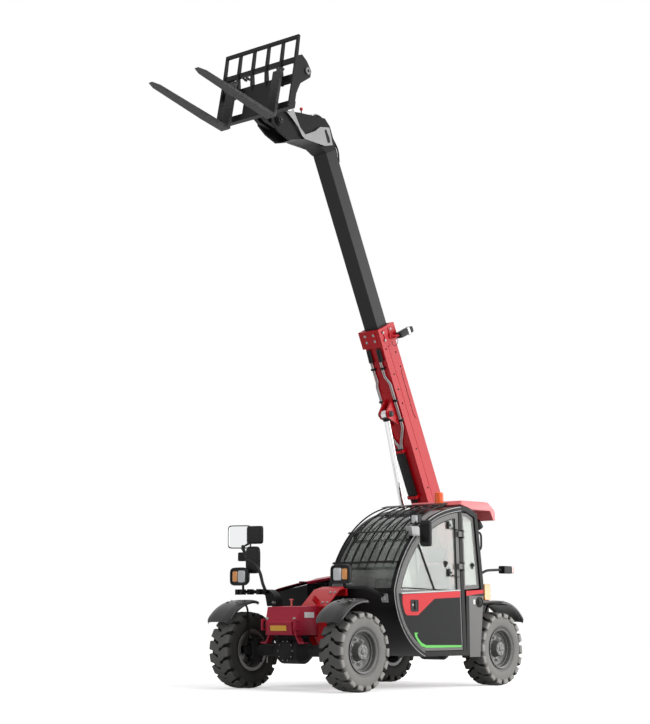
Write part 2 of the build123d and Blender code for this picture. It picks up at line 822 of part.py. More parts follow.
with BuildPart() as glass:
    pane = cab_outline(8) - cab_outline(8 + glass_thickness)
    extrude(on_side(crop(pane, -79, 2000, belt_z + 20, 3000), inner_left - 1), amount=clear_width - 2)
    # Right-hand window, inside the hoop
    light = crop(cab_outline(hoop_depth + 1), -2000, 2000, belt_z - 59, 3000)
    extrude(on_side(light, cab_right_y + 30), amount=glass_thickness)
    # Rear window
    slab(side_plane(inner_left - 1), [(-856, 1141), (-850, 1141), (-765, 1900), (-771, 1900)], clear_width - 2)
    # Fixed window behind the door
    slab(side_plane(cab_left_y - 20), quarter_light, glass_thickness)
save(glass, "cab_glass")

# Overhead guard: bowed bars from hoop to hoop, standing off the windscreen
with BuildPart() as guard:
    bowed = cab_outline(-guard_gap - guard_bar) - cab_outline(-guard_gap)
    crossed = cab_outline(-guard_gap - guard_bar - 8) - cab_outline(-guard_gap - guard_bar + 4)
    foot = cab_outline(-guard_gap - 6) - cab_outline()
    pitch = (clear_width - guard_bar) / (guard_bars - 1)
    for index in range(guard_bars):
        extrude(on_side(crop(bowed, -280, 2000, 1335, 3000), inner_left - index * pitch), amount=guard_bar)
    for low, high in guard_rungs:
        extrude(on_side(crop(crossed, -270, 2000, low, high), inner_left + 20), amount=clear_width + 40)
        for y in (inner_left + 20, inner_right + guard_bar):
            extrude(on_side(crop(foot, -265, 2000, low + 2, high - 2), y), amount=20 + guard_bar)
save(guard, "roof_guard")

with BuildPart() as seat_base:
    bar(side_plane(cab_mid_y + 200), -560, -120, cab_floor_z + panel_thickness, 600, 400)
    bar(side_plane(cab_mid_y + 130), -480, -180, 600, 640, 260)
    bar(side_plane(cab_mid_y + 180), -580, -100, 640, 690, 360)
save(seat_base, "seat_base")

with BuildPart() as seat_cushion:
    cushion = [(-560, 691), (-60, 691), (-40, 720), (-60, 780), (-110, 800), (-560, 780)]
    slab(side_plane(cab_mid_y + 240), cushion, 480)
    chamfer(seat_cushion.faces().sort_by(Axis.Y)[0].edges() + seat_cushion.faces().sort_by(Axis.Y)[-1].edges(), 25)
save(seat_cushion, "seat_cushion")

with BuildPart() as seat_back:
    slab(side_plane(cab_mid_y + 230), [(-570, 802), (-480, 802), (-470, 1000), (-580, 1380), (-670, 1380)], 460)
    chamfer(seat_back.faces().sort_by(Axis.Y)[0].edges() + seat_back.faces().sort_by(Axis.Y)[-1].edges(), 25)
    slab(side_plane(cab_mid_y + 130), [(-660, 1380), (-600, 1380), (-610, 1560), (-670, 1560)], 260)
save(seat_back, "seat_back")

with BuildPart() as controls:
    slab(side_plane(cab_mid_y + 150), [(300, 480), (420, 560), (520, 900), (360, 930)], 300)
    rod_between((mid_x + 400, cab_mid_y, 880), (mid_x + 240, cab_mid_y, 1060), 25)
    tilt = Plane(origin=(mid_x + 240, cab_mid_y, 1060), x_dir=(0, 1, 0), z_dir=(-0.66, 0, 0.75))
    with BuildSketch(tilt) as wheel_ring:
        Circle(190)
        Circle(160, mode=Mode.SUBTRACT)
        Rectangle(350, 30)
        Circle(45)
    extrude(wheel_ring.sketch, amount=22)
save(controls, "steering_column")

with BuildPart() as console:
    arm_rest = [
        (-500, cab_floor_z + panel_thickness),
        (60, cab_floor_z + panel_thickness),
        (80, 800),
        (20, 860),
        (-460, 880),
        (-500, 840),
    ]
    slab(side_plane(cab_mid_y - 250), arm_rest, 110)
    rod_between((mid_x - 20, cab_mid_y - 305, 850), (mid_x + 10, cab_mid_y - 305, 960), 14)
    with Locations((mid_x + 14, cab_mid_y - 305, 990)):
        Box(44, 40, 80)
save(console, "control_console")

with BuildPart() as cowl:
    hood_line = [
        (-600, 2035), (-640, 2085), (-1160, 2090), (-1250, 1975), (-1250, 1880), (-1210, 1880), (-1150, 1985), (-800, 1985)
    ]
    slab(side_plane(860), hood_line, 780)
    # Its sides lean in towards the top
    for edge_y, lean in ((860, 1), (80, -1)):
        with BuildSketch(Plane(origin=(mid_x - 1300, 0, 0), x_dir=(0, 1, 0), z_dir=(1, 0, 0))) as lean_cut:
            with BuildLine():
                Polyline((edge_y + lean, 2010), (edge_y + lean, 2100), (edge_y - lean * 45, 2100), close=True)
            make_face()
        extrude(lean_cut.sketch, amount=800, mode=Mode.SUBTRACT)
save(cowl, "rear_cowl")

with BuildPart() as beacon:
    with Locations((mid_x - 470, 620, 1988)):
        Cylinder(50, 40, align=(Align.CENTER, Align.CENTER, Align.MIN))
        Cone(42, 36, 130, align=(Align.CENTER, Align.CENTER, Align.MIN))
    add(roof.part, mode=Mode.SUBTRACT)
save(beacon, "beacon")

# Lamp and mirror arms, which end flat on what they carry
with BuildPart() as lamp_arms:
    left_route = [(734, 800, 978), (1000, 770, 1080), (1260, 660, 1085), (1260, 660, 1140)]
    pipe([(mid_x + x, y, z) for x, y, z in left_route], 16, 24)
    right_route = [(1125, -345, 880), (1180, -420, 1045), (1180, -880, 1045), (1260, -880, 1050), (1260, -880, 1140)]
    pipe([(mid_x + x, y, z) for x, y, z in right_route], 22, 35)
    mirror_route = [(1180, -560, 1045), (1180, -690, 1372), (1180, -780, 1500), (1180, -930, 1640), (1240, -930, 1640)]
    pipe([(mid_x + x, y, z) for x, y, z in mirror_route], 16, 20)
    rod_between((mid_x + 1180, -690, 1372), (mid_x + 1240, -690, 1372), 12)
    add(tub.part, mode=Mode.SUBTRACT)
    add(chassis.part, mode=Mode.SUBTRACT)
    add(nose.part, mode=Mode.SUBTRACT)
save(lamp_arms, "lamp_arms")


def housing(x, y, z, width, height, depth, taper_angle):
    """Rounded housing whose open face looks forward, narrowing to the back."""
    face = Plane(origin=(mid_x + x, y, z), x_dir=(0, 1, 0), z_dir=(-1, 0, 0))
    with BuildSketch(face) as front:
        RectangleRounded(width, height, min(width, height) / 6)
    extrude(front.sketch, amount=depth, taper=taper_angle)


with BuildPart() as headlamps:
    for y in (660, -880):
        housing(1335, y, 1215, 210, 150, 110, 0)
        housing(1344, y, 1215, 222, 162, 22, 0)
save(headlamps, "headlamps")

with BuildPart() as mirrors:
    housing(1295, -960, 1640, 270, 230, 55, 0)
    housing(1290, -690, 1380, 170, 260, 50, 0)
save(mirrors, "mirrors")

with BuildPart() as work_lamps:
    housing(276, 850, 1830, 110, 110, 70, 0)
    with Locations((mid_x - 1200, 640, 1835)):
        Cylinder(55, 90)
    add(cab_frame.part, mode=Mode.SUBTRACT)
    add(guard.part, mode=Mode.SUBTRACT)
save(work_lamps, "work_lamps")

with BuildPart() as tail_lamps:
    pipe([(mid_x - 880, 870, 1240), (mid_x - 1000, 890, 1300), (mid_x - 1300, 890, 1315)], 16, 60)
    housing(-1300, 890, 1315, 90, 90, 200, 0)
    add(cab_frame.part, mode=Mode.SUBTRACT)
save(tail_lamps, "tail_lamps")

# Door: curved front edge, window cut above the belt, hinge leaves on its rear edge
with BuildPart() as door:
    leaf = cab_outline(hoop_depth + door_gap)
    extrude(on_side(leaf, cab_left_y - 4), amount=door_thickness)
    back_foot = pillar_x + pillar_width + door_gap
    back_edge = [(-2000, 0), (back_foot, 0), (back_foot, 390), (-424, 1965), (-424, 3000), (-2000, 3000)]
    slab(side_plane(cab_left_y), back_edge, 60, Mode.SUBTRACT)
    window = cab_outline(hoop_depth + door_gap + door_frame)
    with BuildPart(mode=Mode.PRIVATE) as door_hole:
        extrude(on_side(window, cab_left_y), amount=60)
        bar(side_plane(cab_left_y), -2000, 2000, 0, belt_z, 60, Mode.SUBTRACT)
        slab(side_plane(cab_left_y), [(x + door_frame, z) for x, z in back_edge], 60, Mode.SUBTRACT)
    add(door_hole.part, mode=Mode.SUBTRACT)
    for z in hinge_heights:
        low, high = z - hinge_barrel_length / 2, z + hinge_barrel_length / 2
        bar(side_plane(hinge_y + 4), hinge_x, hinge_x + 80, low, high, 8)
        bar(side_plane(hinge_y + 4), hinge_x + 54, hinge_x + 80, low, high, hinge_y + 10 - cab_left_y)
        with Locations((mid_x + hinge_x, hinge_y, z)):
            Cylinder(hinge_barrel_radius, hinge_barrel_length)
            Cylinder(hinge_pin_radius + running_gap, hinge_barrel_length, mode=Mode.SUBTRACT)
save(door, "door")

with BuildPart() as door_glass:
    add(door_hole.part)
    bar(side_plane(cab_left_y), -2000, 2000, 0, 3000, 20, Mode.SUBTRACT)
    bar(side_plane(cab_left_y - 20 - glass_thickness), -2000, 2000, 0, 3000, 60, Mode.SUBTRACT)
save(door_glass, "door_glass")

with BuildPart() as door_mirror:
    drum(side_plane(cab_left_y + 8), (235, 1640), 22, 12)
    rod_between((mid_x + 235, cab_left_y + 4, 1640), (mid_x + 340, 1060, 1680), 12)
    housing(380, 1085, 1665, 130, 290, 60, 0)
save(door_mirror, "door_mirror")

# Boom: outer box with its tail cut back, collar round its mouth and ears for the lift rod
inner_start = outer_length - inner_overlap
half_width = outer_width / 2
half_depth = outer_depth / 2
wide = half_width + collar_extra
high = half_depth + collar_extra
with BuildPart() as boom_outer:
    side = [
        (-outer_tail, -half_depth + 90),
        (-outer_tail + 90, -half_depth),
        (outer_length, -half_depth),
        (outer_length, half_depth),
        (-outer_tail + 60, half_depth),
        (-outer_tail, half_depth - 60),
    ]
    slab(boom_plane(boom_y + half_width), side, outer_width)
    collar_start = outer_length - collar_length
    bar(boom_plane(boom_y + wide), collar_start, outer_length, -high, high, 2 * wide)
    # Wear-pad plates on each side of the collar
    for y in (boom_y + wide + 8, boom_y - wide):
        bar(boom_plane(y), collar_start + 40, outer_length - 30, -90, -20, 8)
        bar(boom_plane(y), collar_start + 40, outer_length - 30, 20, 90, 8)
    bar(boom_plane(boom_y + 90), collar_start + 40, outer_length - 30, -high - 8, high + 8, 180)
    bar(
        boom_plane(boom_y + half_width - outer_wall),
        -outer_tail - 1,
        outer_length + 1,
        -half_depth + outer_wall,
        half_depth - outer_wall,
        outer_width - 2 * outer_wall,
        Mode.SUBTRACT,
    )
    drum(boom_plane(boom_y + half_width), (0, 0), pivot_pin_radius + 30, outer_width)
    drum(boom_plane(boom_y + half_width), (0, 0), pivot_pin_radius + running_gap, outer_width, Mode.SUBTRACT)
    # Ears for the lift rod, with pin heads on their outer faces, and the plate they stand on
    ear = lift_eye_width / 2 + side_gap
    ear_plate = 25
    ear_outline = [
        (lift_eye_along - 210, -half_depth + 1),
        (lift_eye_along - 60, -lift_eye_drop - 20),
        (lift_eye_along - 40, -lift_eye_drop - 48),
        (lift_eye_along + 40, -lift_eye_drop - 48),
        (lift_eye_along + 60, -lift_eye_drop - 20),
        (lift_eye_along + 160, -half_depth + 1),
    ]
    for y in (boom_y + ear + ear_plate, boom_y - ear):
        slab(boom_plane(y), ear_outline, ear_plate)
    for y in (boom_y + ear + ear_plate + 12, boom_y - ear - ear_plate):
        drum(boom_plane(y), (lift_eye_along, -lift_eye_drop), 38, 12)
    bar(boom_plane(boom_y + 100), lift_eye_along - 260, lift_eye_along + 220, -half_depth - 10, -half_depth, 200)
save(boom_outer, "boom_outer")

with BuildPart() as boom_services:
    conduit = [(400, -half_depth), (430, -half_depth - 58), (1120, -half_depth - 58), (1160, -half_depth)]
    slab(boom_plane(boom_y + 60), conduit, 120)
    lamp_bracket = [
        (outer_length - 120, half_depth - 50),
        (outer_length - 40, half_depth - 50),
        (outer_length - 40, half_depth + 70),
        (outer_length - 90, half_depth + 90),
        (outer_length - 120, half_depth + 70),
    ]
    slab(boom_plane(boom_y + wide + 8 + 70), lamp_bracket, 70)
save(boom_services, "boom_services")

with BuildPart() as boom_inner:
    bar(boom_plane(boom_y + inner_width / 2), inner_start, inner_end, -inner_depth / 2, inner_depth / 2, inner_width)
    pad = (outer_width - 2 * outer_wall - inner_width) / 2 - 1
    pad_up = (outer_depth - 2 * outer_wall - inner_depth) / 2 - 1
    bar(
        boom_plane(boom_y + inner_width / 2 + pad),
        inner_start,
        inner_start + 120,
        -inner_depth / 2 - pad_up,
        inner_depth / 2 + pad_up,
        inner_width + 2 * pad,
    )
    bar(
        boom_plane(boom_y + inner_width / 2 - inner_wall),
        inner_start - 1,
        inner_end - 40,
        -inner_depth / 2 + inner_wall,
        inner_depth / 2 - inner_wall,
        inner_width - 2 * inner_wall,
        Mode.SUBTRACT,
    )
save(boom_inner, "boom_inner")

# Head: two side plates with a closed underside, open above for the tilt cylinder
with BuildPart() as head:
    cheek = [
        head_point(inner_end, inner_depth / 2),
        head_point(inner_end, -inner_depth / 2),
        (804, 6158),
        (1030, 6158),
        (1276, 6090),
        (1450, 6150),
        (1570, 6230),
        (1580, 6300),
        (1510, 6390),
        (1386, 6411),
        (1115, 6452),
        (661, 6488),
        (572, 6412),
    ]
    slab(side_plane(boom_y + head_half_width), cheek, head_plate)
    slab(side_plane(boom_y - head_half_width + head_plate), cheek, head_plate)
    floor_strip = [
        head_point(inner_end, inner_depth / 2 - 20),
        head_point(inner_end, -inner_depth / 2),
        (804, 6158),
        (1030, 6158),
        (1200, 6112),
        (1200, 6132),
        (1036, 6178),
        (800, 6178),
        (700, 6190),
    ]
    slab(side_plane(boom_y + head_half_width), floor_strip, 2 * head_half_width)
    # Bosses round the tilt pin and the base pin, and the flange on the boom's end
    for y in (boom_y + head_half_width + 14, boom_y - head_half_width):
        drum(side_plane(y), (tilt_x, tilt_z), 62, 14)
        drum(side_plane(y), (tilt_base_x, tilt_base_z), 34, 14)
    drum(side_plane(boom_y + head_half_width + 24), (tilt_x, tilt_z), tilt_pin_radius, 2 * head_half_width + 48)
    drum(side_plane(boom_y + head_half_width), (tilt_base_x, tilt_base_z), 18, 2 * head_half_width)
save(head, "boom_head")


# Cylinders: a barrel with its base eye, a rod with its rod eye
def cylinder_pair(base, eye, barrel_radius, barrel_length, rod_radius, pin_radius, eye_r, eye_w, names):
    length = hypot(eye[0] - base[0], eye[1] - base[1])
    angle = degrees(atan2(eye[1] - base[1], eye[0] - base[0]))
    plane = tilted_plane(base[0], base[1], angle, boom_y + eye_w / 2)
    forward = Vector(cos(radians(angle)), 0, sin(radians(angle)))
    axis_start = Vector(mid_x + base[0], boom_y, base[1])
    with BuildPart() as barrel:
        drum(plane, (0, 0), eye_r, eye_w)
        with BuildSketch(Plane(origin=axis_start + forward * (eye_r - 8), x_dir=(0, 1, 0), z_dir=forward)) as tube:
            Circle(barrel_radius)
        extrude(tube.sketch, amount=barrel_length - eye_r + 8)
        with BuildSketch(Plane(origin=axis_start + forward * (eye_r + 25), x_dir=(0, 1, 0), z_dir=forward)) as bore:
            Circle(rod_radius + running_gap)
        extrude(bore.sketch, amount=barrel_length, mode=Mode.SUBTRACT)
        drum(plane, (0, 0), pin_radius + running_gap, eye_w, Mode.SUBTRACT)
    save(barrel, names[0])
    with BuildPart() as rod:
        drum(plane, (length, 0), eye_r, eye_w)
        with BuildSketch(Plane(origin=axis_start + forward * (length - eye_r + 8), x_dir=(0, 1, 0), z_dir=-forward)) as bar_end:
            Circle(rod_radius)
        extrude(bar_end.sketch, amount=length - eye_r + 8 - barrel_length + 60)
        drum(plane, (length, 0), pin_radius + running_gap, eye_w, Mode.SUBTRACT)
    save(rod, names[1])


lift_eye = head_point(lift_eye_along, -lift_eye_drop)
cylinder_pair(
    (lift_base_x, lift_base_z),
    lift_eye,
    lift_barrel_radius,
    lift_barrel_length,
    lift_rod_radius,
    lift_pin_radius,
    eye_radius,
    lift_eye_width,
    ("lift_barrel", "lift_rod"),
)
lever = radians(tilt_lever_angle)
tilt_eye = (tilt_x + tilt_lever_radius * cos(lever), tilt_z + tilt_lever_radius * sin(lever))
cylinder_pair(
    (tilt_base_x, tilt_base_z),
    tilt_eye,
    tilt_barrel_radius,
    tilt_barrel_length,
    tilt_rod_radius,
    18,
    tilt_eye_radius,
    tilt_eye_width,
    ("tilt_barrel", "tilt_rod"),
)


# Carriage: coupler lugs on the tilt pin, beams, uprights, guard rail and end plates
with BuildPart() as carriage:
    lug = [(-70, -20), (-20, -70), (150, -70), (260, -30), (260, 180), (60, 215), (-20, 215), (-60, 150)]
    for y in (boom_y + 78, boom_y - 28):
        slab(carriage_plane(y), lug, 50)
    drum(carriage_plane(boom_y + 80), (0, 0), tilt_pin_radius + running_gap, 160, Mode.SUBTRACT)
    span = carriage_left_y - carriage_right_y
    bar(carriage_plane(carriage_left_y), 230, 290, 270, 350, span)
    bar(carriage_plane(carriage_left_y), 230, 290, -60, 20, span)
    bar(carriage_plane(boom_y + 200), 230, 290, -60, 350, 400)
    bar(carriage_plane(carriage_left_y), 290, 320, 480, 540, span)
    rail = [(310, 770), (322, 755), (340, 760), (340, 805), (310, 805)]
    slab(carriage_plane(carriage_left_y), rail, span)
    upright = [(230, 260), (290, 260), (330, 480), (340, 800), (310, 800), (290, 480)]
    for index in range(6):
        y = carriage_left_y - index * (span - 30) / 5
        slab(carriage_plane(y), upright, 30)
    # Coupler hook ribs behind the beams
    rib = [(150, 215), (232, 215), (232, 355), (200, 380), (165, 330)]
    for y in (boom_y + 180, boom_y + 112, boom_y - 96, boom_y - 164):
        slab(carriage_plane(y), rib, 16)
    end_plate = [
        (150, 560),
        (60, 480),
        (60, 400),
        (200, 260),
        (240, 120),
        (240, -60),
        (330, -60),
        (330, 300),
        (330, 540),
        (240, 600),
    ]
    for y, boss_y in ((carriage_left_y, carriage_left_y + 14), (carriage_right_y + 20, carriage_right_y)):
        slab(carriage_plane(y), end_plate, 20)
        drum(carriage_plane(boss_y), (120, 450), 42, 14)
    for y in (carriage_left_y + 14, carriage_right_y + 60):
        drum(carriage_plane(y), (120, 450), 22, 60)
    for y in (carriage_left_y + 15, carriage_right_y + 1):
        drum(carriage_plane(y), (120, 450), 14, 16, Mode.SUBTRACT)
save(carriage, "carriage")

# Forks: shank behind, blade tapering to a bevelled tip
with BuildPart() as forks:
    heel_z = -150 - fork_thickness
    tip_x = 345 + fork_length
    for y in (boom_y + fork_spread, boom_y - fork_spread):
        blade = [
            (345, 380),
            (345, heel_z + 20),
            (365, heel_z),
            (700, heel_z),
            (tip_x, -162),
            (tip_x, -150),
            (345 + fork_thickness, -150),
            (345 + fork_thickness, 380),
        ]
        slab(carriage_plane(y + fork_width / 2), blade, fork_width)
        for side in (1, -1):
            under = carriage_plane(y)
            top = Plane(origin=under.from_local_coords((0, -300, 0)), x_dir=under.x_dir, z_dir=under.y_dir)
            with BuildSketch(top) as bevel:
                with BuildLine():
                    Polyline(
                        (tip_x + 1, side * (fork_width / 2 - 34)),
                        (tip_x + 1, side * (fork_width / 2 + 1)),
                        (tip_x - 95, side * (fork_width / 2 + 1)),
                        close=True,
                    )
                make_face()
            extrude(bevel.sketch, amount=300, mode=Mode.SUBTRACT)
save(forks, "forks")
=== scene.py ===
# %% [markdown]
# # A compact telehandler in Blender
# The machine stands with its boom raised and run out, its cab on the left and a hood on the right.
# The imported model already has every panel, wheel and pin at its real place. This lesson gives it
# surfaces: rounded edges, lugged rubber, glass, paint with a little dust, and small fittings.
# Everything is in metres, with X forward, Y to the machine's left and Z up.

import json
import math

import bmesh
import bpy
import numpy as np
from mathutils import Matrix, Vector


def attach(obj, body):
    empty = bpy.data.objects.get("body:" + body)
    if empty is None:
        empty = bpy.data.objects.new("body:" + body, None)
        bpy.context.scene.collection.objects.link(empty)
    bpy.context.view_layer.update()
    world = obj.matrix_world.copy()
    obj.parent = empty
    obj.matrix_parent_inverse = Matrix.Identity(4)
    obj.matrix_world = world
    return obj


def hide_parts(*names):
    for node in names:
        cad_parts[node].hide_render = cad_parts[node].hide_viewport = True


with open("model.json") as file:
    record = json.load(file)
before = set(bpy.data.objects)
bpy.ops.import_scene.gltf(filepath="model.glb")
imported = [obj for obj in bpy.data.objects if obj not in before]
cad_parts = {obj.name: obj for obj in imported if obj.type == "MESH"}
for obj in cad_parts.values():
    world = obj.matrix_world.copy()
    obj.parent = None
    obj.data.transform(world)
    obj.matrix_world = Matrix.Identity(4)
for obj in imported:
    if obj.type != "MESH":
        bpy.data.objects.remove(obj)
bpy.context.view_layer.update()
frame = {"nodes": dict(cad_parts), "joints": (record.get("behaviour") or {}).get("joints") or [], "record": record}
scene = bpy.context.scene
record = frame["record"]
joints = {joint["name"]: joint for joint in frame["joints"]}
body_of = {node: body for body, members in record["behaviour"]["bodies"].items() for node in members}
slot_of = {part["node"]: part["material_slot"] for part in record["subparts"]}
corners = ("front_left", "front_right", "rear_left", "rear_right")
wheel_centre = {corner: np.array(joints["roll_" + corner]["pos_m"]) for corner in corners}
mid_x = (wheel_centre["front_left"][0] + wheel_centre["rear_left"][0]) / 2
boom_y = joints["boom_lift"]["pos_m"][1]
print("nodes", len(frame["nodes"]), "mid-wheelbase at x", round(mid_x, 3))

# %% [markdown]
# ## The camera
# The photograph was taken from low down and far away, from the front left corner. Its place and
# focal length come from the wheels, whose size is known. A long lens keeps the sides of the boom
# nearly parallel, and a small shift puts the machine where it stands in the picture.

# %% Camera
photo_height = 724
focal_length_px = 1621.2
sensor_mm = 36.0
viewpoint = (13.8385, 11.7467, 0.7493)
view_azimuth = -138.18
view_pitch = 9.31
lens_shift = (0.0412, -0.0119)

camera = bpy.data.objects.new("camera", bpy.data.cameras.new("camera"))
scene.collection.objects.link(camera)
camera.data.sensor_width = sensor_mm
camera.data.lens = focal_length_px / photo_height * sensor_mm
camera.data.shift_x, camera.data.shift_y = lens_shift
camera.location = viewpoint
camera.rotation_euler = (math.radians(90 + view_pitch), 0, math.radians(view_azimuth - 90))
scene.camera = camera
scene.view_settings.view_transform = "Standard"

# %% [markdown]
# ## Nodes in few lines
# Materials are graphs of nodes. A node is made, its options are set, and its inputs get either a
# number or a wire from another node. One helper does that, and two more cover the nodes whose
# inputs share a name.


# %% Node helpers
def put(tree, kind, options=None, **inputs):
    """A node of one kind, whose named inputs get a value or another node's output."""
    made = tree.nodes.new(kind)
    for option, value in (options or {}).items():
        setattr(made, option, value)
    for name, value in inputs.items():
        socket = made.inputs[name.replace("_", " ")]
        if isinstance(value, bpy.types.NodeSocket):
            tree.links.new(value, socket)
        else:
            socket.default_value = value
    return made


def calculate(tree, operation, first, second=0.0, third=0.0, clamp=False):
    """One sum on numbers or wires."""
    made = tree.nodes.new("ShaderNodeMath")
    made.operation = operation
    made.use_clamp = clamp
    for socket, value in zip(made.inputs, (first, second, third)):
        if isinstance(value, bpy.types.NodeSocket):
            tree.links.new(value, socket)
        else:
            socket.default_value = value
    return made.outputs[0]


def mix_colours(tree, share, under, over):
    """Two colours mixed by a share."""
    made = tree.nodes.new("ShaderNodeMix")
    made.data_type = "RGBA"
    for index, value in ((0, share), (6, under), (7, over)):
        if isinstance(value, bpy.types.NodeSocket):
            tree.links.new(value, made.inputs[index])
        else:
            made.inputs[index].default_value = value
    return made.outputs[2]


# %% [markdown]
# ## A pale studio
# The floor is a large plane, pale enough to look white where the lamps reach it, and it keeps the
# machine's soft shadow. The world gives an even light, and only what the camera, a mirror or a
# pane sees of it is plain white. Large area lamps stand in for soft boxes: the strongest is on the
# machine's left, as the bright left faces in the photograph show, and a wide one behind it is what
# those faces mirror towards the camera.

# %% Floor, world and lamps
floor_size = 60.0
floor_mesh = bpy.data.meshes.new("floor")
edge = floor_size / 2
floor_corners = [(-edge, -edge, 0), (edge, -edge, 0), (edge, edge, 0), (-edge, edge, 0)]
floor_mesh.from_pydata(floor_corners, [], [(0, 1, 2, 3)])
floor = bpy.data.objects.new("floor", floor_mesh)
scene.collection.objects.link(floor)
floor_paint = bpy.data.materials.new("pale_floor")
floor_paint.use_nodes = True
tree = floor_paint.node_tree
tree.nodes.clear()
rays = put(tree, "ShaderNodeLightPath")
plainly_seen = calculate(tree, "MAXIMUM", rays.outputs["Is Camera Ray"], rays.outputs["Is Glossy Ray"])
plainly_seen = calculate(tree, "MAXIMUM", plainly_seen, rays.outputs["Is Transmission Ray"])
bounce_colour, seen_colour = (0.3, 0.3, 0.3, 1), (0.92, 0.92, 0.92, 1)
matt = put(tree, "ShaderNodeBsdfDiffuse", Color=mix_colours(tree, plainly_seen, bounce_colour, seen_colour))
floor_place = put(tree, "ShaderNodeTexCoord").outputs["Object"]
away = put(tree, "ShaderNodeVectorMath", {"operation": "LENGTH"})
tree.links.new(floor_place, away.inputs[0])
near_glow, far_glow, glow_reach = 0.42, 0.95, 8.0
fade = calculate(tree, "DIVIDE", away.outputs["Value"], glow_reach, clamp=True)
lift = calculate(tree, "MULTIPLY_ADD", fade, far_glow - near_glow, near_glow)
glow = put(
    tree, "ShaderNodeEmission", Color=(1, 1, 1, 1),
    Strength=calculate(tree, "MULTIPLY", plainly_seen, lift),
)
both = put(tree, "ShaderNodeAddShader")
tree.links.new(matt.outputs[0], both.inputs[0])
tree.links.new(glow.outputs[0], both.inputs[1])
put(tree, "ShaderNodeOutputMaterial", Surface=both.outputs[0])
floor_mesh.materials.append(floor_paint)

ambient_level = 0.22
world = bpy.data.worlds.new("studio")
scene.world = world
world.use_nodes = True
tree = world.node_tree
tree.nodes.clear()
rays = put(tree, "ShaderNodeLightPath")
seen = calculate(tree, "MAXIMUM", rays.outputs["Is Camera Ray"], rays.outputs["Is Glossy Ray"])
seen = calculate(tree, "MAXIMUM", seen, rays.outputs["Is Transmission Ray"])
even = put(tree, "ShaderNodeBackground", Color=(1, 1, 1, 1), Strength=ambient_level)
white = put(tree, "ShaderNodeBackground", Color=(1, 1, 1, 1), Strength=1.0)
choice = put(tree, "ShaderNodeMixShader", Fac=seen)
tree.links.new(even.outputs[0], choice.inputs[1])
tree.links.new(white.outputs[0], choice.inputs[2])
put(tree, "ShaderNodeOutputWorld", Surface=choice.outputs[0])


def soft_box(name, place, aim, size, power):
    """A square area lamp that faces a point."""
    lamp = bpy.data.objects.new(name, bpy.data.lights.new(name, "AREA"))
    lamp.data.size = size
    lamp.data.energy = power
    lamp.location = place
    lamp.rotation_euler = (Vector(aim) - Vector(place)).to_track_quat("-Z", "Y").to_euler()
    scene.collection.objects.link(lamp)


soft_box("rear_left_box", (mid_x - 9.0, 8.5, 4.5), (mid_x, 0.5, 3.0), 10.0, 1300)
soft_box("left_box", (mid_x + 2.0, 9.0, 5.0), (mid_x, 0.3, 2.2), 6.0, 380)
soft_box("front_box", (9.0, -1.5, 4.0), (mid_x, 0, 1.5), 5.0, 170)
soft_box("top_box", (mid_x, 1.0, 11.0), (mid_x, 0, 1.0), 6.0, 300)

# %% [markdown]
# ## Shapes as arrays
# Every new piece is a sheet of points on a grid. Neighbouring points make quads, and a row that
# meets itself makes a tube or a ring. The points come from formulas on whole numpy arrays, so no
# loop visits them one by one. A shape here is a pair: its points and a list of face arrays.


# %% Grids, joins and turns
def grid_faces(rows, columns, wrap_rows=False, wrap_columns=False):
    """Quads between neighbours of a grid. A wrapped direction also joins its last line to its first."""
    row = np.arange(rows if wrap_rows else rows - 1)
    column = np.arange(columns if wrap_columns else columns - 1)
    row, column = np.meshgrid(row, column, indexing="ij")
    next_row, next_column = (row + 1) % rows, (column + 1) % columns
    quad = [row * columns + column, row * columns + next_column]
    quad += [next_row * columns + next_column, next_row * columns + column]
    return np.stack(quad, -1).reshape(-1, 4)


def capped(rows, columns):
    """Faces of a run of closed rings, with the first and the last ring filled in."""
    first = np.arange(columns)[None]
    return [grid_faces(rows, columns, wrap_columns=True), first, first + (rows - 1) * columns]


def joined(shapes):
    """Several shapes as one, each face array moved past the points before it."""
    points, faces, count = [], [], 0
    for shape_points, shape_faces in shapes:
        points.append(shape_points)
        faces += [face_block + count for face_block in shape_faces]
        count += len(shape_points)
    return np.concatenate(points), faces


def moved(shape, offset):
    """The shape, shifted."""
    return shape[0] + np.asarray(offset), shape[1]


def turned_about(shape, axis, degrees):
    """The shape, turned about an axis through the origin."""
    turn = np.array(Matrix.Rotation(math.radians(degrees), 3, Vector(axis)))
    return shape[0] @ turn.T, shape[1]


def copied_faces(faces, copies, count):
    """The face arrays of several copies of a shape, each moved past the points of the copies before it."""
    steps = np.arange(copies)[:, None, None] * count
    return [(face_block[None] + steps).reshape(-1, face_block.shape[1]) for face_block in faces]


def repeated(shape, offsets):
    """Copies of one shape, each shifted by a row of offsets: every point plus every offset."""
    points, faces = shape
    offsets = np.asarray(offsets, float)
    many = (points[None] + offsets[:, None]).reshape(-1, 3)
    return many, copied_faces(faces, len(offsets), len(points))


def ring_of(shape, count, start=0.0):
    """Copies of one shape, evenly turned about the Y axis."""
    points, faces = shape
    angle = np.radians(start) + np.arange(count) * 2 * np.pi / count
    c, s = np.cos(angle), np.sin(angle)
    x = points[None, :, 0] * c[:, None] + points[None, :, 2] * s[:, None]
    z = -points[None, :, 0] * s[:, None] + points[None, :, 2] * c[:, None]
    y = np.broadcast_to(points[None, :, 1], x.shape)
    return np.stack([x, y, z], -1).reshape(-1, 3), copied_faces(faces, count, len(points))


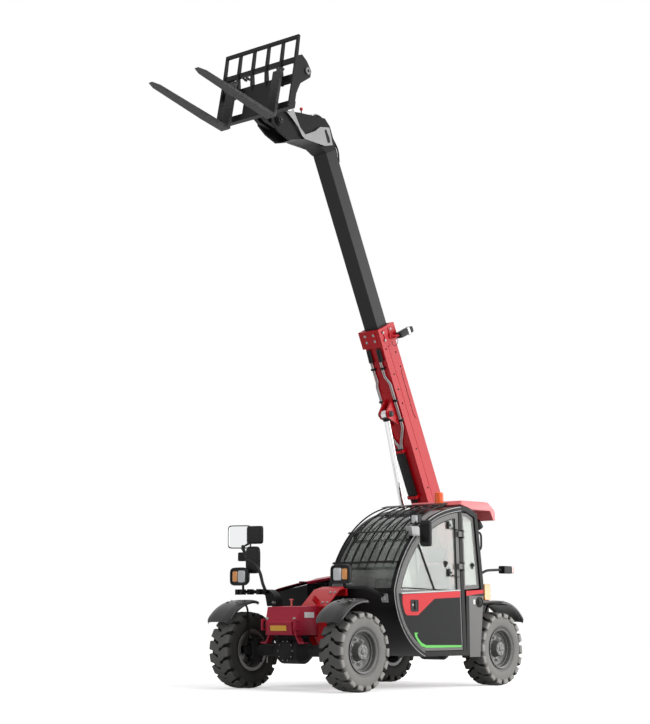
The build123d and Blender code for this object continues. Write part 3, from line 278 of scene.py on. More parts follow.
# %% Lines and outlines
def arc(start, middle, end, steps=24):
    """Points on the circle through three points of a plane: the centre is where the bisectors meet."""
    (ax, ay), (bx, by), (cx, cy) = start, middle, end
    d = 2 * (ax * (by - cy) + bx * (cy - ay) + cx * (ay - by))
    a2, b2, c2 = ax * ax + ay * ay, bx * bx + by * by, cx * cx + cy * cy
    ux = (a2 * (by - cy) + b2 * (cy - ay) + c2 * (ay - by)) / d
    uy = (a2 * (cx - bx) + b2 * (ax - cx) + c2 * (bx - ax)) / d
    first, last = math.atan2(ay - uy, ax - ux), math.atan2(cy - uy, cx - ux)
    through = math.atan2(by - uy, bx - ux)
    sweep = (last - first) % (2 * math.pi)
    if (through - first) % (2 * math.pi) > sweep:
        sweep -= 2 * math.pi
    t = first + np.linspace(0, 1, steps) * sweep
    radius = math.hypot(ax - ux, ay - uy)
    return np.stack([ux + radius * np.cos(t), uy + radius * np.sin(t)], -1)


def rounded(points, radius, steps=6, closed=False):
    """A line whose corners are rounded: each corner becomes a quadratic curve between points at the
    radius before and after it, or at 0.45 of the shorter run where that is less."""
    points = np.asarray(points, float)
    before = np.roll(points, 1, 0) if closed else points[:-2]
    here = points if closed else points[1:-1]
    after = np.roll(points, -1, 0) if closed else points[2:]
    back, ahead = before - here, after - here
    back_run = np.linalg.norm(back, axis=1, keepdims=True)
    ahead_run = np.linalg.norm(ahead, axis=1, keepdims=True)
    reach = np.minimum(radius, 0.45 * np.minimum(back_run, ahead_run))
    enter, leave = here + back / back_run * reach, here + ahead / ahead_run * reach
    t = np.linspace(0, 1, steps)[None, :, None]
    curve = (1 - t) ** 2 * enter[:, None] + 2 * t * (1 - t) * here[:, None] + t**2 * leave[:, None]
    curve = curve.reshape(-1, points.shape[1])
    return curve if closed else np.concatenate([points[:1], curve, points[-1:]])


def smooth_line(points, steps=8):
    """A smooth line through its points: between two of them runs the Catmull-Rom cubic, whose slope
    at each point is half the way from the point before to the point after."""
    points = np.asarray(points, float)
    padded = np.concatenate([2 * points[:1] - points[1:2], points, 2 * points[-1:] - points[-2:-1]])
    a, b, c, d = padded[:-3, None], padded[1:-2, None], padded[2:-1, None], padded[3:, None]
    t = np.linspace(0, 1, steps, endpoint=False)[None, :, None]
    curve = 0.5 * (2 * b + (c - a) * t + (2 * a - 5 * b + 4 * c - d) * t**2 + (3 * b - a - 3 * c + d) * t**3)
    return np.concatenate([curve.reshape(-1, points.shape[1]), points[-1:]])


# %% Solids from lines
def lathe(profile, segments=64, closed=False):
    """A profile of (along Y, radius) turned about the Y axis: radius times sine and cosine of the angle."""
    profile = np.asarray(profile, float)
    angle = np.linspace(0, 2 * np.pi, segments, endpoint=False)
    along, radius = profile[:, 0:1], profile[:, 1:2]
    x, z = radius * np.cos(angle), radius * np.sin(angle)
    points = np.stack([x, np.broadcast_to(along, x.shape), z], -1).reshape(-1, 3)
    faces = [grid_faces(len(profile), segments, closed, True)]
    for end in () if closed else (0, len(profile) - 1):
        if profile[end, 1] > 1e-6:
            faces.append(np.arange(segments)[None] + end * segments)
    return points, faces


def carried(section, path, closed=False):
    """A closed section carried along a path. Across the path the section's first axis lies in the plane
    that the path bends least out of, and the second is square to it and to the path's direction."""
    section, path = np.asarray(section, float), np.asarray(path, float)
    way = np.roll(path, -1, 0) - np.roll(path, 1, 0) if closed else np.gradient(path, axis=0)
    way /= np.linalg.norm(way, axis=1, keepdims=True)
    flat = np.linalg.svd(way - way.mean(0))[2][-1] if len(path) > 2 else np.array([0.0, 0, 1])
    if np.abs(way @ flat).max() > 0.95:
        flat = np.array([0, 1.0, 0]) if abs(way[:, 1]).max() < 0.9 else np.array([1.0, 0, 0])
    across = np.cross(way, flat)
    across /= np.linalg.norm(across, axis=1, keepdims=True)
    upward = np.cross(across, way)
    rings = path[:, None] + section[None, :, 0:1] * across[:, None] + section[None, :, 1:2] * upward[:, None]
    rows, columns = len(path), len(section)
    faces = [grid_faces(rows, columns, True, True)] if closed else capped(rows, columns)
    return rings.reshape(-1, 3), faces


def circle(radius, segments=12):
    """Points round a circle: cosine and sine of even steps."""
    angle = np.linspace(0, 2 * np.pi, segments, endpoint=False)
    return radius * np.stack([np.cos(angle), np.sin(angle)], -1)


def tube(points, radius, bend):
    """A round bar along straight runs with rounded corners."""
    return carried(circle(radius), rounded(points, bend))


def plate(outline, low, high, axis="y"):
    """A flat outline pulled between two stations. It lies in (x, z) for y, (x, y) for z, (y, z) for x."""
    outline = np.asarray(outline, float)
    order = {"y": (0, 2, 1), "z": (0, 1, 2), "x": (1, 2, 0)}[axis]
    ends = []
    for level in (low, high):
        points = np.empty((len(outline), 3))
        points[:, order[0]], points[:, order[1]] = outline.T
        points[:, order[2]] = level
        ends.append(points)
    return np.concatenate(ends), capped(2, len(outline))


def block(low, high, corner=0.004):
    """A box whose upright edges are rounded in its outline."""
    low, high = np.minimum(low, high), np.maximum(low, high)
    square = [(low[0], low[1]), (high[0], low[1]), (high[0], high[1]), (low[0], high[1])]
    return plate(rounded(square, corner, 4, closed=True), low[2], high[2], "z")


def along(shape, place, way, up=(0, 0, 1)):
    """A shape made along +Y, set at a place with its +Y along a way and its +Z as near up as can be."""
    way, up = np.asarray(way, float), np.asarray(up, float)
    way = way / np.linalg.norm(way)
    if abs(way @ up) > 0.99 * np.linalg.norm(up):
        up = np.array([1.0, 0, 0])
    side = np.cross(way, up)
    side /= np.linalg.norm(side)
    frame_axes = np.stack([side, way, np.cross(side, way)])
    return shape[0] @ frame_axes + np.asarray(place), shape[1]


def hex_head(across=0.024, height=0.012):
    """A bolt head on a washer, along +Y: a twelve-sided disc and a six-sided block, chamfered at its end."""
    washer = lathe([(0, across * 0.72), (across * 0.1, across * 0.72), (across * 0.12, across * 0.66)], 12)
    radius = across / math.sqrt(3)
    head = lathe([(0, radius), (height * 0.8, radius), (height, radius * 0.82)], 6)
    return joined([washer, head])


def upright(shape):
    """A shape made along +Y, stood along +Z by a change of the axes' order."""
    return shape[0][:, [2, 0, 1]], shape[1]


def heads(places, way, across=0.024, height=0.012):
    """Bolt heads set at several places, all facing one way."""
    return repeated(along(hex_head(across, height), (0, 0, 0), way), places)


# %% [markdown]
# ## From arrays to a finished piece
# A piece is welded, its faces are turned outwards, and it rides on the body that carries it, which is
# the chassis unless the call names another. A Bevel modifier rounds hard edges by a few millimetres,
# because real sheet metal and castings always catch a line of light there. Curved faces are shaded
# smooth and real corners stay sharp.


# %% Pieces and dressed nodes
usual_corner = 32


def set_up(name, mesh, material, body, bevel, sharp):
    """Material, smooth shading, edge rounding and a body for a finished mesh."""
    piece = bpy.data.objects.new(name, mesh)
    scene.collection.objects.link(piece)
    mesh.materials.clear()
    mesh.materials.append(material)
    mesh.shade_smooth()
    mesh.set_sharp_from_angle(angle=math.radians(sharp))
    if bevel:
        edge_round = piece.modifiers.new("edge_round", "BEVEL")
        edge_round.width = bevel
        edge_round.segments = 2
        edge_round.limit_method = "ANGLE"
        edge_round.angle_limit = math.radians(max(sharp, usual_corner))
        edge_round.harden_normals = True
        edge_round.miter_outer = "MITER_ARC"
    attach(piece, body)
    return piece


def add_piece(
    name, shape, material, body="chassis", slot=None, bevel=0.0, sharp=usual_corner, replaces=(), weld=2e-5,
):
    """A shape, or a list of them, as an object: doubles merged, empty faces dropped and normals turned
    outwards. A slot is worked out from the slot argument, the replaced node or the finish, but it is not used."""
    points, faces = joined(shape) if isinstance(shape, list) else shape
    slot = slot or (slot_of[replaces[0]] if replaces else usual_slot[material.name])
    mesh = bpy.data.meshes.new(name)
    mesh.from_pydata(points.tolist(), [], [face for face_block in faces for face in face_block.tolist()])
    work = bmesh.new()
    work.from_mesh(mesh)
    bmesh.ops.remove_doubles(work, verts=work.verts, dist=weld)
    bmesh.ops.dissolve_degenerate(work, dist=weld / 2, edges=work.edges)
    bmesh.ops.recalc_face_normals(work, faces=work.faces)
    work.to_mesh(mesh)
    work.free()
    piece = set_up(name, mesh, material, body, bevel, sharp)
    if replaces:
        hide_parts(*replaces)
    return piece


def points_of(piece):
    """The points of a piece's mesh as one array of rows."""
    points = np.empty(len(piece.data.vertices) * 3, np.float32)
    piece.data.vertices.foreach_get("co", points)
    return points.reshape(-1, 3)


def mark(piece, attribute, values):
    """One number for each point, which a material reads by the attribute's name."""
    layer = piece.data.attributes.new(attribute, "FLOAT", "POINT")
    layer.data.foreach_set("value", values.astype(np.float32))


flat_angle = math.radians(0.6)
holed = ("cab_frame", "quarter_panel", "door", "chassis_frame", "carriage")


def dressed(node, material, bevel):
    """A CAD node's own form, welded into one mesh and its edges rounded. Flat faces are made whole first,
    except where they have windows or holes in them."""
    source = frame["nodes"][node]
    corner_points = np.empty(len(source.data.loops), np.int32)
    source.data.loops.foreach_get("vertex_index", corner_points)
    unique, place = np.unique(points_of(source).round(5), axis=0, return_inverse=True)
    faces = place.reshape(-1)[corner_points].reshape(-1, 3)
    whole = (faces[:, 0] != faces[:, 1]) & (faces[:, 1] != faces[:, 2]) & (faces[:, 2] != faces[:, 0])
    mesh = bpy.data.meshes.new(node + "_finish")
    mesh.from_pydata(unique.tolist(), [], faces[whole].tolist())
    work = bmesh.new()
    work.from_mesh(mesh)
    if node not in holed:
        bmesh.ops.dissolve_limit(work, angle_limit=flat_angle, verts=work.verts, edges=work.edges)
    work.to_mesh(mesh)
    work.free()
    piece = set_up(node + "_finish", mesh, material, body_of[node], bevel, usual_corner)
    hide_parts(node)
    return piece


# %% [markdown]
# ## Effects that several finishes share
# Three node groups hold what repeats. The first varies a colour slowly and lays dust on the low
# parts. The second is fine grain, as in moulded plastic or sprayed paint. The third lightens
# edges, a painted highlight which also stands for paint rubbed thin. Each has named inputs, so
# every finish sets its own amounts.


# %% Node groups
def new_group(name, inputs, outputs):
    """An empty shader group with typed sockets: inputs as name to (kind, value), outputs as name to kind."""
    group = bpy.data.node_groups.new(name, "ShaderNodeTree")
    for label, (kind, value) in inputs.items():
        socket = group.interface.new_socket(label, in_out="INPUT", socket_type="NodeSocket" + kind)
        socket.default_value = value
    for label, kind in outputs.items():
        group.interface.new_socket(label, in_out="OUTPUT", socket_type="NodeSocket" + kind)
    return group, group.nodes.new("NodeGroupInput"), group.nodes.new("NodeGroupOutput")


dust_group, given, made = new_group(
    "dust_and_tone",
    {
        "Colour": ("Color", (0.5, 0.5, 0.5, 1)),
        "Dust Colour": ("Color", (0.35, 0.33, 0.3, 1)),
        "Tone": ("Float", 0.1),
        "Dust": ("Float", 0.1),
        "Dust Height": ("Float", 1.2),
    },
    {"Colour": "Color", "Mask": "Float"},
)
coordinates = put(dust_group, "ShaderNodeTexCoord")
cloud = put(dust_group, "ShaderNodeTexNoise", Vector=coordinates.outputs["Object"], Scale=2.3, Detail=5.0)
speck = put(dust_group, "ShaderNodeTexNoise", Vector=coordinates.outputs["Object"], Scale=38.0, Detail=6.0)
height = put(dust_group, "ShaderNodeSeparateXYZ", Vector=coordinates.outputs["Object"]).outputs["Z"]
low = calculate(
    dust_group, "SUBTRACT", 1.0, calculate(dust_group, "DIVIDE", height, given.outputs["Dust Height"]),
    clamp=True,
)
patch = calculate(dust_group, "MULTIPLY", low, speck.outputs[0])
mask = calculate(dust_group, "MULTIPLY", patch, given.outputs["Dust"], clamp=True)
swing = calculate(dust_group, "SUBTRACT", cloud.outputs[0], 0.5)
level = calculate(dust_group, "MULTIPLY_ADD", swing, given.outputs["Tone"], 1.0)
toned = put(dust_group, "ShaderNodeVectorMath", {"operation": "SCALE"}, Scale=level)
dust_group.links.new(given.outputs["Colour"], toned.inputs[0])
colour = mix_colours(dust_group, mask, toned.outputs[0], given.outputs["Dust Colour"])
dust_group.links.new(colour, made.inputs["Colour"])
dust_group.links.new(mask, made.inputs["Mask"])

grain_group, given, made = new_group(
    "fine_grain",
    {"Scale": ("Float", 600.0), "Depth": ("Float", 0.00005), "Waviness": ("Float", 0.0)},
    {"Normal": "Vector"},
)
coordinates = put(grain_group, "ShaderNodeTexCoord")
fine = put(
    grain_group, "ShaderNodeTexNoise", Vector=coordinates.outputs["Object"],
    Scale=given.outputs["Scale"], Detail=2.0,
)
broad = put(grain_group, "ShaderNodeTexNoise", Vector=coordinates.outputs["Object"], Scale=4.0, Detail=1.0)
waves = calculate(grain_group, "MULTIPLY", broad.outputs[0], given.outputs["Waviness"])
relief = calculate(grain_group, "MULTIPLY_ADD", fine.outputs[0], given.outputs["Depth"], waves)
bumped = put(grain_group, "ShaderNodeBump", Strength=1.0, Distance=1.0, Height=relief)
grain_group.links.new(bumped.outputs[0], made.inputs["Normal"])

# Pointiness lightens convex edges towards the Bare colour: a painted highlight on the edges, and paint rubbed
# thin.
rub_and_highlight_group, given, made = new_group(
    "edge_rub",
    {
        "Colour": ("Color", (0.1, 0.1, 0.1, 1)), "Bare": ("Color", (0.4, 0.4, 0.4, 1)),
        "Amount": ("Float", 0.5),
    },
    {"Colour": "Color", "Mask": "Float"},
)
curved = put(rub_and_highlight_group, "ShaderNodeNewGeometry").outputs["Pointiness"]
coordinates = put(rub_and_highlight_group, "ShaderNodeTexCoord")
broken = put(rub_and_highlight_group, "ShaderNodeTexNoise", Vector=coordinates.outputs["Object"], Scale=30.0, Detail=6.0)
ridge = calculate(rub_and_highlight_group, "MULTIPLY", calculate(rub_and_highlight_group, "SUBTRACT", curved, 0.52), 9.0, clamp=True)
worn = calculate(rub_and_highlight_group, "MULTIPLY", ridge, broken.outputs[0])
share = calculate(rub_and_highlight_group, "MULTIPLY", worn, given.outputs["Amount"], clamp=True)
rub_and_highlight_group.links.new(
    mix_colours(rub_and_highlight_group, share, given.outputs["Colour"], given.outputs["Bare"]), made.inputs["Colour"],
)
rub_and_highlight_group.links.new(share, made.inputs["Mask"])

# %% [markdown]
# ## Finishes
# One function makes a finish from its colour, gloss and the amounts of each effect. Paint gets a
# clear coat and an almost flat ripple, moulded plastic a fine grain, and rubber a coarser one.


# %% Finishes
coat_roughness, dust_roughness = 0.08, 0.5


def finish(
    name, colour, roughness, metallic=0.0, coat=0.0, specular=0.5, tone=0.12, dust=0.15,
    grain=(500.0, 0.00003, 0.0), rub=0.0, bare=(0.5, 0.5, 0.5, 1), dust_height=1.2,
):
    """A Principled surface with tone, dust, edge rub with a painted edge highlight, and grain from the groups."""
    material = bpy.data.materials.new(name)
    material.use_nodes = True
    material.diffuse_color = (*colour, 1)
    tree = material.node_tree
    surface = tree.nodes["Principled BSDF"]
    rubbed = put(
        tree, "ShaderNodeGroup", {"node_tree": rub_and_highlight_group}, Colour=(*colour, 1), Bare=bare, Amount=rub,
    )
    dusty = put(
        tree, "ShaderNodeGroup", {"node_tree": dust_group}, Colour=rubbed.outputs["Colour"],
        Tone=tone, Dust=dust, Dust_Height=dust_height,
    )
    bumpy = put(
        tree, "ShaderNodeGroup", {"node_tree": grain_group}, Scale=grain[0], Depth=grain[1],
        Waviness=grain[2],
    )
    tree.links.new(dusty.outputs["Colour"], surface.inputs["Base Color"])
    rough = calculate(tree, "MULTIPLY_ADD", dusty.outputs["Mask"], dust_roughness, roughness, clamp=True)
    tree.links.new(rough, surface.inputs["Roughness"])
    tree.links.new(bumpy.outputs["Normal"], surface.inputs["Normal"])
    surface.inputs["Metallic"].default_value = metallic
    surface.inputs["Coat Weight"].default_value = coat
    surface.inputs["Coat Roughness"].default_value = coat_roughness
    surface.inputs["Specular IOR Level"].default_value = specular
    return material


paint_ripple = (350.0, 0.00001, 0.0004)
red_paint = finish("red_paint", (0.52, 0.004, 0.012), 0.36, specular=0.25, grain=paint_ripple)
# A darker, bluer copy of the red paint for the nose box and the hood lid: painted shade.
deep_red_paint = finish("deep_red_paint", (0.4, 0.004, 0.032), 0.36, specular=0.22, grain=paint_ripple)
# A pale pink copy of the red paint for the rear cowl: painted light for the bright, reflecting face it shows.
cowl_red = finish("cowl_red", (0.86, 0.2, 0.21), 0.36, specular=0.4, grain=paint_ripple)
black_paint = finish("black_paint", (0.008, 0.008, 0.0085), 0.4, specular=0.1, grain=paint_ripple, dust=0.06)
gloss_black = finish(
    "gloss_black", (0.006, 0.0065, 0.007), 0.16, specular=0.05, grain=paint_ripple, dust=0.03,
)
dark_grey_paint = finish(
    "dark_grey_paint", (0.03, 0.03, 0.031), 0.42, specular=0.12, grain=paint_ripple, dust=0.05,
)
grey_paint = finish("grey_paint", (0.13, 0.127, 0.124), 0.4, specular=0.25, grain=paint_ripple)
head_paint = finish("head_paint", (0.012, 0.012, 0.013), 0.4, specular=0.14, grain=paint_ripple, dust=0.05)
# The carriage's outermost flank faces, marked by the attribute side, turn pale grey on the black: painted light
# for the lit flanks of a black part.
tree = head_paint.node_tree
surface = tree.nodes["Principled BSDF"]
side = put(tree, "ShaderNodeAttribute", {"attribute_name": "side"}).outputs["Fac"]
painted = surface.inputs["Base Color"].links[0].from_socket
tree.links.new(mix_colours(tree, side, painted, (0.22, 0.22, 0.22, 1)), surface.inputs["Base Color"])
# Pale grey with strong random tone for the plates on the head's flanks: painted light for the lit side faces of
# the black head.
lit_face_pale = finish("worn_pale_paint", (0.3, 0.3, 0.3), 0.45, specular=0.5, grain=paint_ripple, tone=0.5)
pale_grey = finish("pale_grey_paint", (0.36, 0.36, 0.36), 0.42, coat=0.2, grain=paint_ripple)
silver_trim = finish(
    "silver_trim", (0.5, 0.5, 0.5), 0.35, metallic=0.0, specular=0.8, grain=(700.0, 0.00001, 0.0),
)
zinc = finish("zinc_bolts", (0.36, 0.36, 0.35), 0.3, metallic=0.2, grain=(700.0, 0.00001, 0.0))
chrome = finish(
    "chrome_rod", (0.55, 0.55, 0.55), 0.0, metallic=1.0, tone=0.02, dust=0.02, grain=(500.0, 0.000002, 0.0),
)
axle_iron = finish(
    "axle_iron", (0.01, 0.01, 0.011), 0.6, specular=0.1, grain=(180.0, 0.0002, 0.0), dust=0.08,
)
rim_paint = finish("rim_grey", (0.1, 0.1, 0.1), 0.42, coat=0.15, grain=paint_ripple, dust=0.25)
black_plastic = finish(
    "black_plastic", (0.014, 0.014, 0.015), 0.45, specular=0.14, grain=(420.0, 0.00006, 0.0),
)
gloss_plastic = finish(
    "fender_plastic", (0.018, 0.018, 0.018), 0.28, specular=0.28, grain=(300.0, 0.00002, 0.0), dust=0.08,
)
seal_rubber = finish("seal_rubber", (0.012, 0.012, 0.012), 0.7, specular=0.1)
hose_rubber = finish("hose_rubber", (0.016, 0.016, 0.016), 0.5, specular=0.15, grain=(900.0, 0.00005, 0.0))
belt_red = finish("belt_red", (0.72, 0.02, 0.03), 0.4, specular=0.15, tone=0.04)
stripe_green = finish("stripe_green", (0.15, 0.7, 0.12), 0.4, specular=0.2, tone=0.04)
blank_white = finish("blank_plate", (0.75, 0.75, 0.74), 0.45, tone=0.03)
blank_yellow = finish("blank_yellow_plate", (0.85, 0.45, 0.03), 0.4, tone=0.04)
amber = finish("amber_lens", (0.95, 0.33, 0.02), 0.12, coat=0.6, tone=0.05, grain=(160.0, 0.0002, 0.0))
red_lens = finish("red_lens", (0.65, 0.02, 0.015), 0.1, coat=0.6, tone=0.05, grain=(160.0, 0.0002, 0.0))
beacon_orange = finish(
    "beacon_orange", (1.0, 0.115, 0.005), 0.2, specular=0.3, tone=0.05, grain=(160.0, 0.0002, 0.0),
)
clear_lens = finish("clear_lens", (0.62, 0.64, 0.66), 0.08, coat=1.0, tone=0.2, grain=(60.0, 0.0012, 0.0))
mirror_face = finish(
    "mirror_face", (0.86, 0.88, 0.88), 0.0, metallic=1.0, tone=0.02, dust=0.0, grain=(10.0, 0.0, 0.0),
)
# Dark steel with strong edge lightening from the edge group: a painted highlight on its edges, and paint rubbed
# thin.
steel_edge_highlight = finish(
    "worn_steel", (0.01, 0.01, 0.012), 0.4, specular=0.12, rub=0.9, bare=(0.4, 0.4, 0.4, 1), dust=0.05,
)
seat_vinyl = finish(
    "seat_vinyl", (0.028, 0.028, 0.03), 0.5, specular=0.4, grain=(260.0, 0.0002, 0.0), dust=0.05,
)

slot_groups = {
    "black_paint": (black_paint, gloss_black, dark_grey_paint),
    "red_paint": (red_paint, deep_red_paint, belt_red, stripe_green, red_lens),
    "grey_paint": (grey_paint, pale_grey, lit_face_pale, silver_trim, blank_white),
    "black_plastic": (black_plastic, seal_rubber, hose_rubber),
    "worn_steel": (zinc, steel_edge_highlight),
    "amber_lens": (amber, beacon_orange, blank_yellow),
    "clear_glass": (clear_lens, mirror_face),
    "seat_vinyl": (seat_vinyl,),
    "axle_iron": (axle_iron,),
}
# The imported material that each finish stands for, unless a call names one.
usual_slot = {material.name: slot for slot, group in slot_groups.items() for material in group}


# %% Glass and rubber
glass_through, glass_bend = 0.78, 1.45


def pane(name, clear, shaded_tint):
    """Smooth glass. Its tint goes from clear to a near-black painted shade, patchy by noise, by its shade
    attribute, which a piece may lack.
    """
    material = bpy.data.materials.new(name)
    material.use_nodes = True
    tree = material.node_tree
    surface = tree.nodes["Principled BSDF"]
    smoke = put(tree, "ShaderNodeAttribute", {"attribute_name": "smoke"}).outputs["Fac"]
    coordinates = put(tree, "ShaderNodeTexCoord")
    shade_mottle = put(
        tree, "ShaderNodeTexNoise", Vector=coordinates.outputs["Object"],
        Scale=3.5, Detail=7.0, Roughness=0.65,
    )
    patchy_shade = calculate(tree, "MULTIPLY", calculate(tree, "SUBTRACT", shade_mottle.outputs[0], 0.42), 3.0, clamp=True)
    share = calculate(tree, "MULTIPLY", smoke, calculate(tree, "MULTIPLY_ADD", patchy_shade, 0.35, 0.65))
    tree.links.new(mix_colours(tree, share, clear, shaded_tint), surface.inputs["Base Color"])
    surface.inputs["Roughness"].default_value = 0.0
    surface.inputs["Transmission Weight"].default_value = glass_through
    surface.inputs["IOR"].default_value = glass_bend
    return material


glass = pane("clear_glass", (0.66, 0.7, 0.66, 1), (0.03, 0.034, 0.032, 1))

rubber = finish(
    "tyre_rubber", (0.15, 0.15, 0.147), 0.72, specular=0.1, grain=(220.0, 0.00025, 0.0), dust=0.16,
    dust_height=1.0,
)
tree = rubber.node_tree
surface = tree.nodes["Principled BSDF"]
tread_colour = surface.inputs["Base Color"].links[0].from_socket
# The outer flanks turn pale grey in noisy patches: a painted highlight of the lit tyre wall.
wall = put(tree, "ShaderNodeAttribute", {"attribute_name": "wall"}).outputs["Fac"]
coordinates = put(tree, "ShaderNodeTexCoord")
wall_light_patches = put(tree, "ShaderNodeTexNoise", Vector=coordinates.outputs["Object"], Scale=7.0, Detail=6.0)
share = calculate(
    tree, "MULTIPLY", wall, calculate(tree, "MULTIPLY_ADD", wall_light_patches.outputs[0], 0.4, 0.7), clamp=True,
)
# Between the lugs and on the inner flank the tread colour goes near black: painted shade.
groove = put(tree, "ShaderNodeAttribute", {"attribute_name": "groove"}).outputs["Fac"]
tread_colour = mix_colours(tree, groove, tread_colour, (0.006, 0.006, 0.006, 1))
tree.links.new(mix_colours(tree, share, tread_colour, (0.42, 0.41, 0.39, 1)), surface.inputs["Base Color"])
print("finishes", len(bpy.data.materials))

# %% [markdown]
# ## Rounding what the model gives
# Most of the machine is plate and box section, whose true form is already in the frame. Each node
# is copied, welded and given rounded edges, so that it keeps its shape and only gains highlights.

# %% Dress the plain nodes
screen_edge_y, screen_back, screen_fade = 0.9, -0.1, 0.05
lit_side_depth = 0.003
plain = {
    "chassis_frame": (red_paint, 0.004),
    "nose_box": (deep_red_paint, 0.006),
    "counterweight": (black_paint, 0.012),
    "battery_pack": (grey_paint, 0.006),
    "front_axle": (axle_iron, 0.004),
    "rear_axle": (axle_iron, 0.004),
    "cab_frame": (black_paint, 0.005),
    "cab_tub": (black_paint, 0.003),
    "cab_roof": (black_paint, 0.003),
    "quarter_panel": (grey_paint, 0.004),
    "roof_guard": (black_paint, 0.002),
    "rear_cowl": (cowl_red, 0.008),
    "door": (grey_paint, 0.003),
    "boom_outer": (red_paint, 0.004),
    "boom_inner": (dark_grey_paint, 0.005),
    "boom_head": (black_paint, 0.004),
    "lift_barrel": (black_paint, 0.003),
    "lift_rod": (chrome, 0.002),
    "tilt_barrel": (black_paint, 0.002),
    "tilt_rod": (chrome, 0.0015),
    "carriage": (head_paint, 0.003),
    "forks": (steel_edge_highlight, 0.004),
    "seat_base": (black_plastic, 0.008),
    "control_console": (black_plastic, 0.01),
}
plain.update({"knuckle_" + corner: (axle_iron, 0.004) for corner in corners})
for node, (material, bevel) in plain.items():
    piece = dressed(node, material, bevel)
    # The carriage's faces on its two outermost flanks are marked for painted light.
    if node == "carriage":
        reach = np.abs(points_of(piece)[:, 1] - boom_y)
        mark(piece, "side", reach > reach.max() - lit_side_depth)
# Panes inboard of the left side and forward of a short fade go near black: painted shade for the dark cab seen
# through them.
for node in ("cab_glass", "door_glass"):
    panes = dressed(node, glass, 0.0)
    points = points_of(panes)
    fade = np.clip((points[:, 0] - mid_x - screen_back) / screen_fade, 0, 1)
    mark(panes, "smoke", (points[:, 1] < screen_edge_y) * fade)
print("dressed", len(plain))

# %% [markdown]
# ## Tyres
# A loader tyre is a ring with thick lugs in two staggered rows. The carcass is one profile turned
# about the axle. A lug is a short bar carried outwards over the shoulder and down the wall: its
# rows step from the middle of the tread to the wall, and its columns go round its own section.
# All lugs are one shape copied round the wheel by turning its array of points.

# %% Tyre sizes
rim_seat = 0.212
tyre_radius = float(wheel_centre["front_left"][2])
tread_base = tyre_radius - 0.027
lug_count = 18
wall_profile = [
    (0.104, rim_seat + 0.001), (0.109, rim_seat + 0.012), (0.117, rim_seat + 0.026), (0.13, 0.262),
    (0.1375, 0.3), (0.1385, 0.33), (0.134, 0.352), (0.122, 0.372), (0.1, tread_base - 0.003),
    (0.05, tread_base), (0.0, tread_base + 0.001),
]


def carcass():
    """The ring under the lugs: a smooth half profile with two raised circles on the wall, mirrored."""
    half_line = smooth_line(wall_profile, 6)
    along, radius = half_line.T
    circles = 0.0022 * np.exp(-(((radius - 0.34) / 0.0022) ** 2)) + 0.0016 * np.exp(
        -(((radius - 0.252) / 0.002) ** 2)
    )
    along = along + circles * (radius < 0.36)
    half_line = np.stack([along, radius], -1)
    whole = np.concatenate([half_line, half_line[::-1][1:] * (-1, 1)])
    return lathe(whole, 120, closed=True)


def lug_bar(side):
    """One lug. Along it go (distance from the middle, top radius, base radius, half width, lean). Round it
    go six corners: the foot, the chamfer and the top on either side. Widths are turned into angles."""
    line = np.array([
        (-0.006, 0.414, 0.39, 0.05, 0.0), (0.018, 0.4155, 0.39, 0.054, 0.008),
        (0.048, 0.416, 0.39, 0.056, 0.02), (0.066, 0.4155, 0.39, 0.056, 0.04),
        (0.09, 0.4135, 0.386, 0.053, 0.052), (0.126, 0.408, 0.374, 0.05, 0.056),
        (0.1465, 0.3985, 0.36, 0.046, 0.058), (0.1508, 0.388, 0.352, 0.044, 0.058),
        (0.15, 0.366, 0.346, 0.042, 0.058), (0.1465, 0.353, 0.342, 0.038, 0.058),
    ])
    out, top, foot, half, lean = line.T
    wall_top = np.minimum(top, 0.3985)
    chamfer = 0.004
    across = np.stack([-half - 0.005, -half, -half + chamfer, half - chamfer, half, half + 0.005], -1)
    radius = np.stack([foot, top - chamfer, top, top, top - chamfer, foot], -1)
    station = np.repeat(out[:, None], 6, 1)
    on_wall = (out > 0.14)[:, None]
    inward = np.array([0.02, 0.001, 0.0, 0.0, 0.001, 0.02])[None]
    station = np.where(on_wall, station - inward, station)
    radius = np.where(on_wall & (inward > 0.01), wall_top[:, None] - 0.012, radius)
    angle = (across + lean[:, None]) / tyre_radius
    points = np.stack([radius * np.sin(angle), side * station, radius * np.cos(angle)], -1).reshape(-1, 3)
    return points, capped(len(out), 6)


def tyre_shape(hand):
    """The carcass with both rows of lugs. The rows lean the same way on every wheel, seen from its tread."""
    near, far = lug_bar(1), lug_bar(-1)
    if hand < 0:
        near, far = (near[0] * (-1, 1, 1), near[1]), (far[0] * (-1, 1, 1), far[1])
    return joined([carcass(), ring_of(near, lug_count), ring_of(far, lug_count, 180 / lug_count)])


def mark_tyre_light_and_shade(piece, centre, hand):
    """Two attributes of painted light by where a point is. The first, a painted highlight, is one on the outer
    flank, little on the inner one and none on the tread; the second, painted shade, is one between the lugs and
    0.85 on the inner flank."""
    points = points_of(piece) - centre
    radius = np.hypot(points[:, 0], points[:, 2])
    out = np.abs(points[:, 1])
    outer = np.where(points[:, 1] * hand > 0, 1.0, 0.08)
    flank, tread_edge, shoulder, bead = 0.1, 0.4125, 0.385, 0.262
    wall = np.clip((out - 0.14) / 0.008, 0, 1) * np.clip((tread_edge - radius) / 0.006, 0, 1)
    wall = np.maximum(wall, 0.5 * np.clip((shoulder - radius) / 0.02, 0, 1) * (out > flank))
    wall = np.where(radius < bead, 0.45 * wall, wall) * outer
    groove = np.clip((0.408 - radius) / 0.012, 0, 1) * (out < 0.15) * (radius > 0.362)
    groove = np.maximum(groove, 0.85 * (outer < 1) * (out > flank) * (radius < 0.395))
    mark(piece, "groove", groove)
    mark(piece, "wall", wall)


